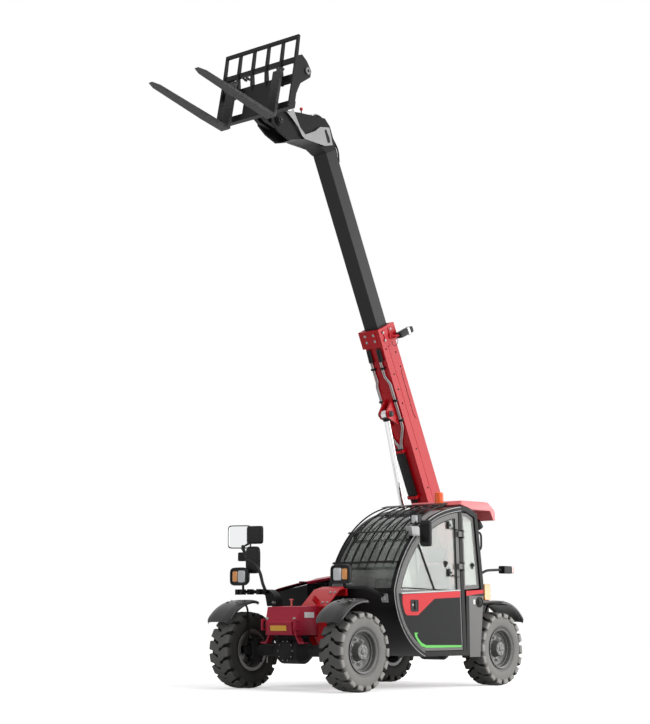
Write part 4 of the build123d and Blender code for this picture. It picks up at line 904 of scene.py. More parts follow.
for corner, centre in wheel_centre.items():
    hand = 1 if corner.endswith("left") else -1
    name = "tyre_" + corner
    tyre = add_piece(
        "rubber_" + corner, moved(tyre_shape(hand), centre), rubber, body_of[name],
        sharp=38, replaces=[name], weld=1e-6,
    )
    mark_tyre_light_and_shade(tyre, centre, hand)
print("tyre triangles", sum(len(face.vertices) - 2 for face in tyre.data.polygons))

# %% [markdown]
# ## Rims and hubs
# The rim is one turned profile: a rolled flange, a stepped barrel, a dished disc and the deep hub
# that stands out of it. The nuts on the disc and the bolts on the hub's face are small repeated
# forms, set on circles.

# %% Rims
rim_profile = [
    (-0.126, 0.1885), (-0.126, 0.2235), (-0.1225, 0.2262), (-0.118, 0.2235), (-0.112, 0.2135), (-0.1, 0.212),
    (0.1, 0.212), (0.112, 0.2135), (0.118, 0.2235), (0.1225, 0.2262), (0.126, 0.224), (0.126, 0.22),
    (0.118, 0.206), (0.104, 0.201), (0.08, 0.1985), (0.074, 0.19), (0.06, 0.188), (0.052, 0.186),
    (0.044, 0.176), (0.038, 0.16), (0.0365, 0.15), (0.036, 0.1), (0.04, 0.0945), (0.046, 0.0925),
    (0.06, 0.09), (0.104, 0.08), (0.112, 0.0785), (0.116, 0.074), (0.116, 0.032), (0.121, 0.03),
    (0.123, 0.026), (0.123, 0.0), (0.014, 0.0), (0.014, 0.17), (0.002, 0.186), (-0.118, 0.1875),
]
stud_circle, hub_circle = 0.1275, 0.056
disc_face, hub_face = 0.0365, 0.116
for corner, centre in wheel_centre.items():
    hand = 1 if corner.endswith("left") else -1
    name = "rim_" + corner
    dish = lathe(np.array(rim_profile) * (hand, 1), 72, closed=True)
    add_piece("dish_" + corner, moved(dish, centre), rim_paint, body_of[name], sharp=28, replaces=[name])
    out = (0, hand, 0)
    stud_place, cap_place = (0, hand * disc_face, stud_circle), (0, hand * hub_face, hub_circle)
    nut = along(hex_head(0.03, 0.02), stud_place, out)
    stud = along(lathe([(0, 0.0075), (0.03, 0.0075), (0.032, 0.006)], 8), stud_place, out)
    cap_bolt = along(hex_head(0.014, 0.008), cap_place, out)
    fittings = joined([ring_of(nut, 8, 12), ring_of(stud, 8, 12), ring_of(cap_bolt, 6, 20)])
    add_piece("nuts_" + corner, moved(fittings, centre), zinc, body_of[name], bevel=0.0)

# %% [markdown]
# ## Places and rounded cases
# Measures are easier to read from the middle of the wheelbase, or along the raised boom. Two
# helpers turn them into the model's own frame. Lamps, mirrors and buttons share one form, a case
# whose outline is a superellipse: a rectangle whose corners melt away as its power drops.

# %% Places and cases
pivot = np.array(joints["boom_lift"]["pos_m"])
boom_way = np.array(joints["boom_extend"]["axis"])
boom_rise = np.array([-boom_way[2], 0.0, boom_way[0]])
across_way = np.array([0.0, 1.0, 0.0])
boom_half_width, boom_half_depth = 0.128, 0.14


def at(x, y, z):
    """A place given forward of mid-wheelbase, to the left of the middle and above the ground."""
    return np.array([mid_x + x, y, z])


def on_boom(along_boom, side, rise):
    """A place along the boom from its pivot, to its left and square to it. The underside is below 0."""
    return pivot + along_boom * boom_way + side * across_way + rise * boom_rise


def oval(width, height, power=5.0, segments=32):
    """A superellipse: cosine and sine, each raised to two over the power with its sign kept."""
    angle = np.linspace(0, 2 * np.pi, segments, endpoint=False)
    c, s = np.cos(angle), np.sin(angle)
    bend = 2 / power
    return np.stack(
        [width / 2 * np.sign(c) * np.abs(c) ** bend, height / 2 * np.sign(s) * np.abs(s) ** bend], -1,
    )


def pod(width, height, stations, power=5.0, segments=32):
    """A case along +Y. Each station gives a distance and its superellipse's shares of width and height."""
    ring = oval(width, height, power, segments)
    stations = np.asarray(stations, float)
    x = stations[:, 1:2] * ring[None, :, 0]
    z = stations[:, 2:3] * ring[None, :, 1]
    y = np.broadcast_to(stations[:, 0:1], x.shape)
    return np.stack([x, y, z], -1).reshape(-1, 3), capped(len(stations), segments)


def drawn_in(outline, inset):
    """A closed outline moved inwards: each corner goes along the sum of its two edges' normals."""
    outline = np.asarray(outline, float)
    edge_out = np.roll(outline, -1, 0) - outline
    area = np.sum(outline[:, 0] * np.roll(outline[:, 1], -1) - np.roll(outline[:, 0], -1) * outline[:, 1])
    normal = np.stack([-edge_out[:, 1], edge_out[:, 0]], -1) * np.sign(area)
    normal /= np.linalg.norm(normal, axis=1, keepdims=True)
    before = np.roll(normal, 1, 0)
    share = np.maximum(1 + np.sum(normal * before, 1, keepdims=True), 0.3)
    return outline + inset * (normal + before) / share


def ring_plate(outer, inner, low, high):
    """A flat frame between two outlines that have as many points, pulled between two stations."""
    outside, inside = plate(outer, low, high), plate(inner, low, high)
    count = len(outer)
    faces = [outside[1][0], inside[1][0] + 2 * count]
    step = np.arange(count)
    after = (step + 1) % count
    faces += [
        np.stack([step, after, after + 2 * count, step + 2 * count], -1) + level for level in (0, count)
    ]
    return np.concatenate([outside[0], inside[0]]), faces


def strip(path, thickness, low, high, axis="y"):
    """A bent sheet: a line and its copy moved square to it, pulled between two stations."""
    path = np.asarray(path, float)
    way = np.gradient(path, axis=0)
    normal = np.stack([-way[:, 1], way[:, 0]], -1) / np.linalg.norm(way, axis=1, keepdims=True)
    return plate(np.concatenate([path, (path + thickness * normal)[::-1]]), low, high, axis)


def side_points(points):
    """Side-view points from mid-wheelbase, in the model's frame."""
    return np.asarray(points, float) + (mid_x, 0)


def rod(start, end, radius):
    """A straight round bar between two points."""
    start, end = np.asarray(start, float), np.asarray(end, float)
    length = float(np.linalg.norm(end - start))
    return along(lathe([(0, radius), (length, radius)], 12), start, end - start)


print("pivot at", pivot.round(3), "boom way", boom_way.round(3))

# %% [markdown]
# ## Fenders
# Each fender is a moulded guard that turns with its wheel. Its section is a superellipse over the
# tyre, swept round the wheel's centre, narrower and rounder at the trailing end. The sheet is
# closed on itself: out over the top and back underneath, a wall's thickness lower.

# %% Fender sizes and shape
fender_edge, fender_top = 0.507, 0.5465
fender_wall = 0.007
fender_half, fender_middle = 0.177, -0.005
fender_from, fender_to = 34.0, 104.0
arm_x, arm_y = 0.14, -0.16
stay_radius, stay_bend = 0.011, 0.06
strap_stations = (-0.06, 0.09)
strap_gap = 0.014


def fender_shape():
    """Height over the wheel is the edge radius plus the crown times (1 - |v|^p)^(1/p), for v across it."""
    angle = np.linspace(fender_from, fender_to, 56)[:, None]
    turn = np.linspace(-np.pi / 2, np.pi / 2, 41)
    power = 3.4
    spread = np.sign(np.sin(turn)) * np.abs(np.sin(turn)) ** (2 / power)
    crown = np.abs(np.cos(turn)) ** (2 / power)
    trailing = np.clip((angle - 90.0) / (fender_to - 90.0), 0, 1)
    leading = np.clip((42.0 - angle) / (42.0 - fender_from), 0, 1)
    narrow = np.sqrt(1 - 0.8 * trailing**2) * np.sqrt(1 - 0.35 * leading**2)
    half = fender_half * narrow
    rise = (fender_top - fender_edge) * (1 - 0.45 * trailing**2)
    crease = 0.0025 * np.exp(-(((np.abs(spread) - 0.72) / 0.05) ** 2))
    outer_radius = fender_edge + rise * crown - crease
    outer_side = half * spread
    inner_radius = np.maximum(outer_radius - fender_wall, fender_edge)
    inner_side = (half - fender_wall * 0.8) * spread
    radius = np.concatenate([outer_radius, inner_radius[:, ::-1]], 1)
    side = np.concatenate([outer_side, inner_side[:, ::-1]], 1)
    t = np.radians(angle)
    points = np.stack([radius * np.cos(t), side + fender_middle, radius * np.sin(t)], -1)
    return points.reshape(-1, 3), capped(*radius.shape)


def fender_stay():
    """A tube from the knuckle's arm up and across under the crown, with a foot plate and two straps."""
    top = math.sqrt((fender_top - fender_wall - strap_gap) ** 2 - arm_x**2)
    route = [(0, 0, 0.04), (-0.05, -0.005, 0.24), (-0.02, 0, 0.45), (0, 0.02, top), (0, 0.135 - arm_y, top)]
    post = tube(np.array(route) + (arm_x, arm_y, 0), stay_radius, stay_bend)
    foot_line = np.array([(-0.03, -0.014), (0.018, -0.014), (0.018, 0.014), (-0.03, 0.014)])
    foot = plate(foot_line + (arm_x, arm_y), 0.04, 0.052, "z")
    straps = [
        block((arm_x - 0.05, y - 0.015, top + 0.006), (arm_x + 0.05, y + 0.015, top + 0.0115))
        for y in strap_stations
    ]
    return joined([post, foot] + straps)


for corner, centre in wheel_centre.items():
    ends = np.array([1 if corner.startswith("front") else -1, 1 if corner.endswith("left") else -1, 1])
    name = "fender_" + corner
    (guard, guard_faces), (stay, stay_faces) = fender_shape(), fender_stay()
    add_piece(
        "guard_" + corner, (guard * ends + centre, guard_faces),
        gloss_plastic, body_of[name], sharp=40, replaces=[name],
    )
    add_piece("guard_stay_" + corner, (stay * ends + centre, stay_faces), black_paint, body_of[name])
    bolt_places = [
        (x, y, math.sqrt((fender_top + 0.001) ** 2 - x**2))
        for x in (arm_x - 0.03, arm_x + 0.03) for y in strap_stations
    ]
    bolts, bolt_faces = heads(bolt_places, (0.25, 0, 1), 0.014, 0.007)
    add_piece("guard_bolts_" + corner, (bolts * ends + centre, bolt_faces), zinc, body_of[name])
print("fenders", len(wheel_centre))

# %% [markdown]
# ## Hood and bay on the right
# The hood is a long lid over a steel tub. Its sheet falls away to the right, with a slight crown and
# edges turned down, and it swings on two hinges beside the boom. The tub's outer wall is pressed with
# louvres: each is a strip whose section is a small wedge.

# %% Hood and bay
hood_left, hood_right = -0.385, -0.928
hood_line = side_points([(-0.85, 1.209), (-0.42, 1.242), (-0.08, 1.205), (0.64, 1.066)])
hood_lean = 0.1
hood_thick = 0.03


def hood_shape():
    """Rows run along the top line and columns across. Height is the line's, plus a lean that grows towards
    the boom and the front, plus a crown of one minus the fourth power across. The outer columns turn
    down."""
    line = rounded(hood_line, 0.12, 8)
    v = np.concatenate([[-1, -1, -0.985], np.linspace(-0.95, 0.95, 39), [0.985, 1, 1]])
    side = (hood_left + hood_right) / 2 + v * (hood_left - hood_right) / 2
    crown = 0.012 * (1 - np.abs(v) ** 4)
    step = 1 / (1 + np.exp(np.clip((np.abs(v) - 0.7) / 0.012, -60, 60)))
    u = np.linspace(0, 1, len(line))
    panel = np.clip((u - 0.04) / 0.02, 0, 1) * np.clip((0.93 - u) / 0.02, 0, 1)
    drop = np.zeros(len(v))
    drop[[0, -1]], drop[[1, -2]], drop[[2, -3]] = hood_thick, 0.006, 0.001
    lean = hood_lean * (v[None] + 1) / 2 * np.clip((line[:, 0:1] - mid_x + 0.45) / 0.75, 0, 1)
    z = line[:, 1:2] + lean + crown[None] + 0.006 * panel[:, None] * step[None] - drop[None]
    x = np.broadcast_to(line[:, 0:1], z.shape)
    y = np.broadcast_to(side[None], z.shape)
    top = np.stack([x, y, z], -1)
    under = top.copy()
    under[:, :, 2] = np.minimum(top[:, :, 2] - 0.004, line[:, 1:2] + lean + 0.004)
    under[:, [0, -1], 2] = top[:, [0, -1], 2]
    under[:, [1, -2], 2] = top[:, [0, -1], 2]
    under[:, :, 1] = np.clip(under[:, :, 1], hood_right + 0.004, hood_left - 0.004)
    loop = np.concatenate([top, under[:, ::-1]], 1)
    return loop.reshape(-1, 3), capped(*loop.shape[:2])


hood_axis = np.array(joints["hood_hinge"]["pos_m"])
hinge_stations = (-0.35, 0.15)
leaf_half, leaf_low = 0.009, 1.205
hinge_leaves = [
    block(
        at(x - leaf_half, hood_left - 0.02, leaf_low),
        at(x + leaf_half, hood_left + 0.003, hood_axis[2] + 0.01),
    )
    for x in hinge_stations
]
hinge_barrels = [
    rod(at(x - leaf_half, *hood_axis[1:]), at(x + leaf_half, *hood_axis[1:]), 0.012) for x in hinge_stations
]
latch = [block(at(0.3, hood_right + 0.16, 1.15), at(0.36, hood_right + 0.22, 1.178), 0.01)]
hood_shell = add_piece("hood_lid", hood_shape(), deep_red_paint, "hood", sharp=30, replaces=["hood"])
add_piece("hood_fittings", hinge_leaves + hinge_barrels + latch, black_paint, "hood", bevel=0.001)
bay_path = side_points([
    (-0.85, 1.165), (-0.85, 0.9), (-0.7, 0.88), (-0.7, 0.35), (0.5, 0.35), (0.62, 0.56), (0.64, 1.045),
])
bay_outline = np.concatenate([bay_path, side_points([(0.0, 1.15)])])
inner_outline = np.concatenate([bay_path[:-1], side_points([(0.64, 1.135), (0.2, 1.215), (-0.4, 1.205)])])
front_panel = [(-0.93, 0.56), (-0.39, 0.56), (-0.39, 1.135), (-0.93, 1.04)]
bay_low, bay_high = -0.93, -0.39
bay_sheet = 0.006
louvre = plate([(0.0, -0.013), (-0.013, -0.002), (-0.002, 0.013), (0.0, 0.013)], -0.2, 0.2, "x")
louvre_columns, louvre_rows = (-0.31, 0.27), 0.63 + 0.044 * np.arange(7)
louvres = repeated(louvre, [at(x, bay_low, z) for x in louvre_columns for z in louvre_rows])
walls = [
    plate(bay_outline, bay_low, bay_low + bay_sheet), plate(inner_outline, bay_high - bay_sheet, bay_high),
    strip(bay_path, bay_sheet, bay_low, bay_high), plate(front_panel, mid_x + 0.622, mid_x + 0.628, "x"),
]
brackets = [
    block(at(x - 0.032, hood_left + 0.002, 1.12), at(x - 0.012, hood_left + 0.014, hood_axis[2] + 0.012))
    for x in hinge_stations
]
pins = [rod(at(x - 0.034, *hood_axis[1:]), at(x + 0.016, *hood_axis[1:]), 0.0075) for x in hinge_stations]
trays = [
    block(at(-0.7, bay_low + 0.01, 0.36), at(0.5, bay_high - 0.01, 0.372)),
    block(at(-0.66, bay_low + 0.02, 1.0), at(0.52, bay_high - 0.02, 1.012)),
]
add_piece("bay_tub", walls + brackets + pins + trays, black_paint, bevel=0.0015, replaces=["side_bay"])
add_piece("bay_louvres", louvres, black_paint)
print("hood", len(hood_shell.data.polygons), "faces")

# %% [markdown]
# ## The cab's outline
# The cab's side is one line: a bowed front, the windscreen's arc, the roof's arc and the straight
# back. Seals, trim and the door's panels follow it, so it is worked out once and drawn in by a
# distance whenever a part needs it.

# %% Cab outline
belt_z, sill_z = 1.06, 0.35
door_face, frame_face = 0.926, 0.93
pillar_foot, pillar_head = (-0.482, 0.39), (-0.424, 1.965)


def cab_line(inset=0.0):
    """The side of the cab from three arcs and straight runs, drawn in by an inset."""
    steps = 40
    front = arc((0.222, sill_z), (0.56, 0.585), (0.747, belt_z), steps)
    screen = arc((0.747, belt_z), (0.53, 1.487), (-0.087, 1.92), steps)
    roof = arc((-0.087, 1.92), (-0.335, 1.98), (-0.579, 2.011), steps // 2)
    back = np.array([
        (-0.789, 1.931), (-0.898, 1.097), (-0.89, belt_z - 0.05), (-0.61, belt_z - 0.05), (-0.61, sill_z),
    ])
    return side_points(drawn_in(np.concatenate([front, screen[1:], roof[1:], back]), inset))


def behind_door(z):
    """The slanted rear edge of the door at a height."""
    share = (z - pillar_foot[1]) / (pillar_head[1] - pillar_foot[1])
    return mid_x + pillar_foot[0] + share * (pillar_head[0] - pillar_foot[0])


def door_line(inset, low, back=0.0):
    """The outline in front of the door's rear edge and above a height, closed by straight runs."""
    line = cab_line(inset)
    keep = (line[:, 1] > low) & (line[:, 0] > behind_door(line[:, 1]) + back)
    kept = line[keep]
    top = kept[-1]
    return np.concatenate([
        kept, [(behind_door(top[1]) + back, top[1] + 0.002)], [(behind_door(low) + back, low)],
    ])


# %% [markdown]
# ## Door panels, belt and trim
# The lower door is a dark glossy panel. A red belt crosses it and tapers back to the rear quarter,
# with a silver line above it, and a green line runs along the foot. Each is a thin plate on the
# door's face, because a painted stripe on a flat sheet still has its own crisp edge.

# %% Door and quarter trim
stripe = 0.0012
glass_face = 0.912
panel_front = cab_line(0.085)
panel_front = panel_front[
    (panel_front[:, 1] > 0.44) & (panel_front[:, 1] < 1.03) & (panel_front[:, 0] > mid_x)
]
lower_panel = np.concatenate([
    panel_front, [(behind_door(1.03) + 0.022, 1.03), (behind_door(0.44) + 0.022, 0.44)],
])
add_piece(
    "door_lower_panel", plate(lower_panel, door_face - 0.001, door_face + 0.003),
    gloss_black, "door", bevel=0.0015,
)
belt_face = door_face + 0.0035
belt = side_points([
    (0.6, 1.01), (-0.442, 1.058), (-0.44, 0.99), (0.037, 0.97), (0.334, 0.79), (0.527, 0.79), (0.562, 0.818),
    (0.6, 0.915),
])
add_piece(
    "door_belt", plate(rounded(belt, 0.02, 5, True), belt_face - 0.001, belt_face + stripe),
    belt_red, "door",
)
green = side_points([
    (0.4, 0.606), (0.329, 0.606), (0.356, 0.591), (0.345, 0.556), (0.275, 0.498), (0.193, 0.472),
    (-0.452, 0.465), (-0.452, 0.443), (0.193, 0.443), (0.276, 0.46), (0.345, 0.516), (0.385, 0.563),
])
add_piece("door_green_line", plate(green, belt_face - 0.001, belt_face + stripe), stripe_green, "door")
silver = side_points([(0.612, 1.03), (-0.446, 1.074), (-0.446, 1.062), (0.612, 1.016)])
add_piece("door_silver_line", plate(silver, door_face, door_face + 0.004), silver_trim, "door")
quarter_belt = side_points([(-0.556, 1.062), (-0.888, 1.079), (-0.886, 1.04), (-0.556, 1.006)])
add_piece("quarter_belt", plate(quarter_belt, frame_face - 0.001, frame_face + stripe), belt_red)
lock = side_points([(0.327, 0.83), (0.327, 0.957), (0.46, 0.957), (0.46, 0.83)])
lock_ring = rounded(lock, 0.02, 5, True)
lock_parts = [
    ring_plate(lock_ring, drawn_in(lock_ring, 0.01), door_face, belt_face + 0.006),
    plate(drawn_in(lock_ring, 0.009), door_face, belt_face + 0.0015),
    block(at(0.35, belt_face, 0.85), at(0.395, belt_face + 0.012, 0.94), 0.006),
]
add_piece("door_lock", lock_parts, black_plastic, "door", bevel=0.001)
key = along(
    lathe([(0, 0.014), (0.006, 0.013), (0.007, 0.009)], 20), at(0.428, belt_face + 0.002, 0.9), (0, 1, 0),
)
add_piece("door_key", key, zinc, "door")

# %% Seals, window edges and the divider
window = door_line(0.122, belt_z + 0.002, 0.062)
seal_path = np.insert(window, 1, door_face - 0.004, axis=1)
add_piece("window_seal", carried(circle(0.006, 8), seal_path, True), seal_rubber, "door")
door_edge = door_line(0.0585, 0.41, -0.003)
gap_path = np.insert(door_edge, 1, door_face - 0.01, axis=1)
add_piece("door_seal", carried(circle(0.0035, 8), gap_path, True), seal_rubber)
for label, inset, face in (("outer", 0.006, 0.004), ("inner", 0.047, 0.003)):
    line = cab_line(inset)
    run = line[:100]
    path = np.insert(run[run[:, 0] > mid_x - 0.5], 1, frame_face + 0.0005, axis=1)
    add_piece("hoop_trim_" + label, carried(circle(face, 8), path), silver_trim)
divider = side_points([(-0.002, 1.064), (0.022, 1.064), (0.326, 1.59), (0.304, 1.6)])
add_piece("window_divider", plate(divider, 0.906, 0.918), seal_rubber, "door", bevel=0.001)
quarter_light = side_points([
    (-0.527, 1.075), (-0.835, 1.095), (-0.735, 1.88), (-0.62, 1.93), (-0.497, 1.935),
])
quarter_frame = ring_plate(quarter_light, drawn_in(quarter_light, 0.042), 0.9105, 0.9125)
add_piece("quarter_frit", quarter_frame, grey_paint)
ring_place = at(-0.807, frame_face, 0.94)
filler = [
    along(
        lathe([(0.0, 0.058), (0.004, 0.06), (0.01, 0.058), (0.012, 0.05), (0.004, 0.046)], 48),
        ring_place, (0, 1, 0),
    ),
    along(
        lathe([(0.0, 0.036), (0.01, 0.035), (0.013, 0.03), (0.013, 0.01), (0.02, 0.009), (0.02, 0.0)], 40),
        ring_place, (0, 1, 0),
    ),
]
add_piece("filler_ring", filler, black_plastic)
label = block(at(-0.725, frame_face, 0.915), at(-0.688, frame_face + stripe, 0.968))
add_piece("blank_label", label, blank_white)
print("window seal points", len(window))

# %% [markdown]
# ## Handles, hinges and small window fittings
# Round catches hold the window open, a lever opens the door from inside, and two short arms by
# the hinges hold the opening pane. A loop at the back corner is the grab handle.

# %% Window and door fittings
knob = joined([
    lathe([(0, 0.026), (0.01, 0.027), (0.016, 0.022), (0.017, 0.012), (0.026, 0.011), (0.028, 0.0)], 28),
    block((-0.008, 0.0, -0.045), (0.008, 0.012, 0.0), 0.004),
])
add_piece("door_catch", along(knob, at(-0.202, glass_face, 1.362), (0, 1, 0)), black_plastic, "door")
add_piece("quarter_catch", along(knob, at(-0.7, glass_face, 1.352), (0, 1, 0)), black_plastic)
lever = tube([at(0.125, 0.895, 1.43), at(0.12, 0.885, 1.4), at(0.085, 0.885, 1.35)], 0.008, 0.02)
add_piece("inside_lever", lever, zinc, "door")
stays = []
for z in (1.785, 1.262):
    stays.append(block(at(-0.305, 0.905, z - 0.015), at(-0.225, 0.93, z + 0.012), 0.008))
    stays.append(block(at(-0.262, 0.905, z - 0.045), at(-0.235, 0.935, z + 0.04), 0.008))
    stays.append(
        tube(
            [at(-0.29, 0.93, z - 0.03), at(-0.36, 0.944, z - 0.045), at(-0.415, 0.944, z - 0.05)],
            0.006, 0.03,
        )
    )
add_piece("pane_arms", stays, black_plastic, "door", bevel=0.001)
grab = tube(
    [at(-0.8, 0.9, 1.735), at(-0.905, 0.9, 1.72), at(-0.905, 0.9, 1.545), at(-0.825, 0.9, 1.51)],
    0.012, 0.05,
)
feet = [
    along(lathe([(0, 0.022), (0.012, 0.02)], 20), place, (1, 0, 0))
    for place in (at(-0.812, 0.9, 1.735), at(-0.842, 0.9, 1.512))
]
add_piece("grab_handle", [grab] + feet, black_plastic)
reflector = pod(0.12, 0.18, [(-0.03, 0.92, 0.95), (-0.026, 1, 1), (0.026, 1, 1), (0.03, 0.94, 0.96)], 8)
add_piece("amber_box", along(reflector, at(-0.995, 0.885, 1.054), (0, 1, 0)), amber)
arm = [
    block(at(-0.955, 0.87, 1.03), at(-0.87, 0.895, 1.07), 0.004),
    block(at(-0.958, 0.862, 0.98), at(-0.95, 0.905, 1.12), 0.004),
]
add_piece("amber_bracket", arm, black_paint)
print("fittings on the cab's side made")

# %% [markdown]
# ## Lamps and mirrors
# A lamp is a black case with an opening, and lenses set in it. The case is a run of superellipses
# that grow from its back to its rim and then step in, so the lenses sit behind the rim's edge. A
# lens is a shallow dome with a faceted reflector pattern from its bump.

# %% Headlamps
lamp_case = [
    (-0.112, 0.45, 0.5), (-0.108, 0.55, 0.6), (-0.075, 0.78, 0.82), (-0.035, 0.97, 0.97), (-0.03, 1.0, 1.0),
    (-0.004, 1.02, 1.02), (0.002, 1.0, 1.0), (0.002, 0.9, 0.88), (-0.01, 0.88, 0.85),
]
lens_dome = [
    (0.0, 0.98, 0.98), (0.004, 1.0, 1.0), (0.01, 0.94, 0.94), (0.014, 0.75, 0.75), (0.0155, 0.4, 0.4),
    (0.016, 0.05, 0.05),
]
lamp_x, lamp_z, neck_x, lens_back = 1.338, 1.215, 1.262, -0.012
for label, y, out in (("left", 0.68, 1), ("right", -0.79, -1)):
    centre = at(lamp_x, y, lamp_z)
    case = along(pod(0.262, 0.196, lamp_case, 4.5, 40), centre, (1, 0, 0))
    neck = rod(at(neck_x, y, 1.12), at(neck_x, y, 1.152), 0.02)
    yoke = block(at(1.245, y - 0.05, 1.132), at(1.28, y + 0.05, 1.146))
    mask = along(block((-0.118, -0.001, -0.086), (0.118, 0.001, 0.086)), centre + (-0.008, 0, 0), (1, 0, 0))
    add_piece(
        "headlamp_case_" + label, [case, neck, yoke, mask], black_plastic, slot=slot_of["headlamps"],
        sharp=35, replaces=["headlamps"] if out > 0 else [],
    )
    clear = along(pod(0.112, 0.134, lens_dome, 7, 32), centre + (lens_back, -out * 0.04, 0), (1, 0, 0))
    turn = along(pod(0.074, 0.118, lens_dome, 6, 32), centre + (lens_back, out * 0.06, 0), (1, 0, 0))
    add_piece("headlamp_lens_" + label, clear, clear_lens)
    add_piece("turn_lens_" + label, turn, amber)

# %% Arms for lamps and mirrors
left_arm = tube(
    [at(0.7, 0.8, 0.974), at(1.0, 0.77, 1.08), at(neck_x, 0.68, 1.085), at(neck_x, 0.68, 1.142)], 0.02, 0.04,
)
clamp = [
    block(at(0.655, 0.76, 0.925), at(0.745, 0.842, 1.018), 0.006),
    block(at(0.75, 0.775, 0.945), at(0.775, 0.825, 1.0), 0.004),
]
add_piece("left_lamp_arm", left_arm, black_paint, bevel=0.001, replaces=["lamp_arms"])
add_piece("left_arm_clamp", clamp, pale_grey, bevel=0.001)
add_piece(
    "left_arm_bolts", heads([at(x, 0.842, 0.965) for x in (0.68, 0.722)], (0, 1, 0), 0.018, 0.01), zinc,
)
cross = tube([at(1.17, -0.52, 1.048), at(1.175, -0.96, 1.048)], 0.02, 0.03)
lamp_post = tube([at(1.178, -0.79, 1.048), at(neck_x, -0.79, 1.056), at(neck_x, -0.79, 1.142)], 0.014, 0.03)
collars = [
    block(at(1.142, y - 0.025, 1.018), at(1.208, y + 0.025, 1.078), 0.006)
    for y in (-0.62, -0.76, -0.88, -0.945)
]
arch_line = rounded([(-0.352, 0.89), (-0.362, 0.99), (-0.46, 1.075), (-0.64, 1.068)], 0.1, 8)
arch_face = plate(
    np.concatenate([arch_line, [(-0.64, 1.03), (-0.56, 1.01), (-0.53, 0.89)]]),
    mid_x + 1.142, mid_x + 1.152, "x",
)
arch_edge = strip(arch_line, 0.006, mid_x + 1.09, mid_x + 1.2, "x")
add_piece("right_arm_bracket", [cross, lamp_post, arch_face, arch_edge] + collars, black_paint, bevel=0.001)
add_piece("right_bracket_bolts", heads([at(1.152, y, 0.93) for y in (-0.4, -0.44)], (1, 0, 0), 0.02), zinc)
post_line = [
    (1.18, -0.52, 1.05), (1.24, -0.515, 1.13), (1.25, -0.54, 1.25), (1.25, -0.61, 1.345),
    (1.25, -0.72, 1.405), (1.215, -0.8, 1.44), (1.2, -0.86, 1.56),
]
mirror_post = tube([at(*point) for point in post_line], 0.018, 0.1)
add_piece("mirror_post", mirror_post, dark_grey_paint)
twigs = [
    rod(at(1.19, -0.9, 1.545), at(1.185, -0.8, 1.42), 0.007),
    rod(at(1.185, -0.84, 1.56), at(1.195, -0.66, 1.64), 0.009),
    rod(at(1.183, -0.7, 1.34), at(1.195, -0.686, 1.395), 0.01),
]
add_piece("mirror_twigs", twigs, black_paint)

# %% Mirrors
shell = [
    (-0.03, 0.7, 0.7), (-0.028, 0.8, 0.8), (-0.014, 0.96, 0.96), (0.0, 1.0, 1.0), (0.008, 1.0, 1.0),
    (0.01, 0.98, 0.98),
]
silvered = [(0.0095, 0.91, 0.91), (0.0115, 0.91, 0.91), (0.0118, 0.88, 0.88)]
forward_way, back_way = (0.86, 0.5, 0.02), (-0.95, -0.3, 0)
mirrors = [
    (at(1.2, -0.905, 1.659), 0.27, 0.26, 8, forward_way),
    (at(1.19, -0.852, 1.437), 0.13, 0.1, 8, forward_way), (at(1.215, -0.657, 1.673), 0.2, 0.2, 8, back_way),
    (at(1.215, -0.686, 1.398), 0.175, 0.3, 5, back_way),
]
cases = [along(pod(width, height, shell, power), place, way) for place, width, height, power, way in mirrors]
place, width, height, power, way = mirrors[0]
add_piece("mirror_cases", cases, black_plastic, sharp=35, replaces=["mirrors"])
add_piece("mirror_faces", along(pod(width, height, silvered, power), place, way), mirror_face, sharp=35)
door_mirror, door_way = at(0.372, 1.08, 1.664), np.array([-0.97, -0.24, 0])
door_case = along(pod(0.135, 0.285, shell, 7), door_mirror, door_way)
door_back = along(
    pod(0.13, 0.28, [(0.0, 1, 1), (0.022, 0.98, 0.98), (0.03, 0.9, 0.92)], 7), door_mirror, -door_way,
)
stem = tube([at(0.235, 0.926, 1.64), at(0.26, 0.985, 1.645), at(0.345, 1.05, 1.664)], 0.011, 0.04)
stem_foot = along(lathe([(0, 0.024), (0.01, 0.022)], 24), at(0.235, 0.922, 1.64), (0, 1, 0))
add_piece(
    "door_mirror_case", [door_case, door_back, stem, stem_foot],
    black_plastic, "door", sharp=35, replaces=["door_mirror"],
)
add_piece(
    "door_mirror_face", along(pod(0.135, 0.285, silvered, 7), door_mirror, door_way), mirror_face, "door",
)

# %% Beacon, work lamps and tail lamp
roof_z = 1.992
beacon_place = at(-0.5, 0.61, 0.0)
beacon_base = lathe(
    [(roof_z, 0.062), (roof_z + 0.022, 0.06), (roof_z + 0.03, 0.05), (roof_z + 0.038, 0.048)], 40,
)
beacon_cap = lathe(
    [
        (roof_z + 0.036, 0.052), (roof_z + 0.046, 0.054), (roof_z + 0.165, 0.05), (roof_z + 0.182, 0.045),
        (roof_z + 0.188, 0.03), (roof_z + 0.19, 0.004),
    ],
    40,
)
add_piece("beacon_base", moved(upright(beacon_base), beacon_place), black_plastic, replaces=["beacon"])
add_piece("beacon_dome", moved(upright(beacon_cap), beacon_place), beacon_orange)
work_place = at(0.272, 0.85, 1.83)
work_case = along(pod(0.112, 0.112, lamp_case[2:], 6), work_place, (1, 0, 0))
work_foot = block(at(0.19, 0.835, 1.765), at(0.235, 0.865, 1.785), 0.003)
rear_lamp, rear_aim = at(-1.2, 0.64, 1.835), (-0.55, 0, -0.83)
rear_case = lathe(
    [
        (-0.05, 0.03), (-0.045, 0.046), (-0.01, 0.056), (0.02, 0.058), (0.04, 0.058), (0.044, 0.052),
        (0.036, 0.05), (0.03, 0.0),
    ],
    40,
)
rear_case = along(rear_case, rear_lamp, rear_aim)
rear_post = rod(rear_lamp + (0.0, 0, 0.02), rear_lamp + (0.012, 0, 0.075), 0.012)
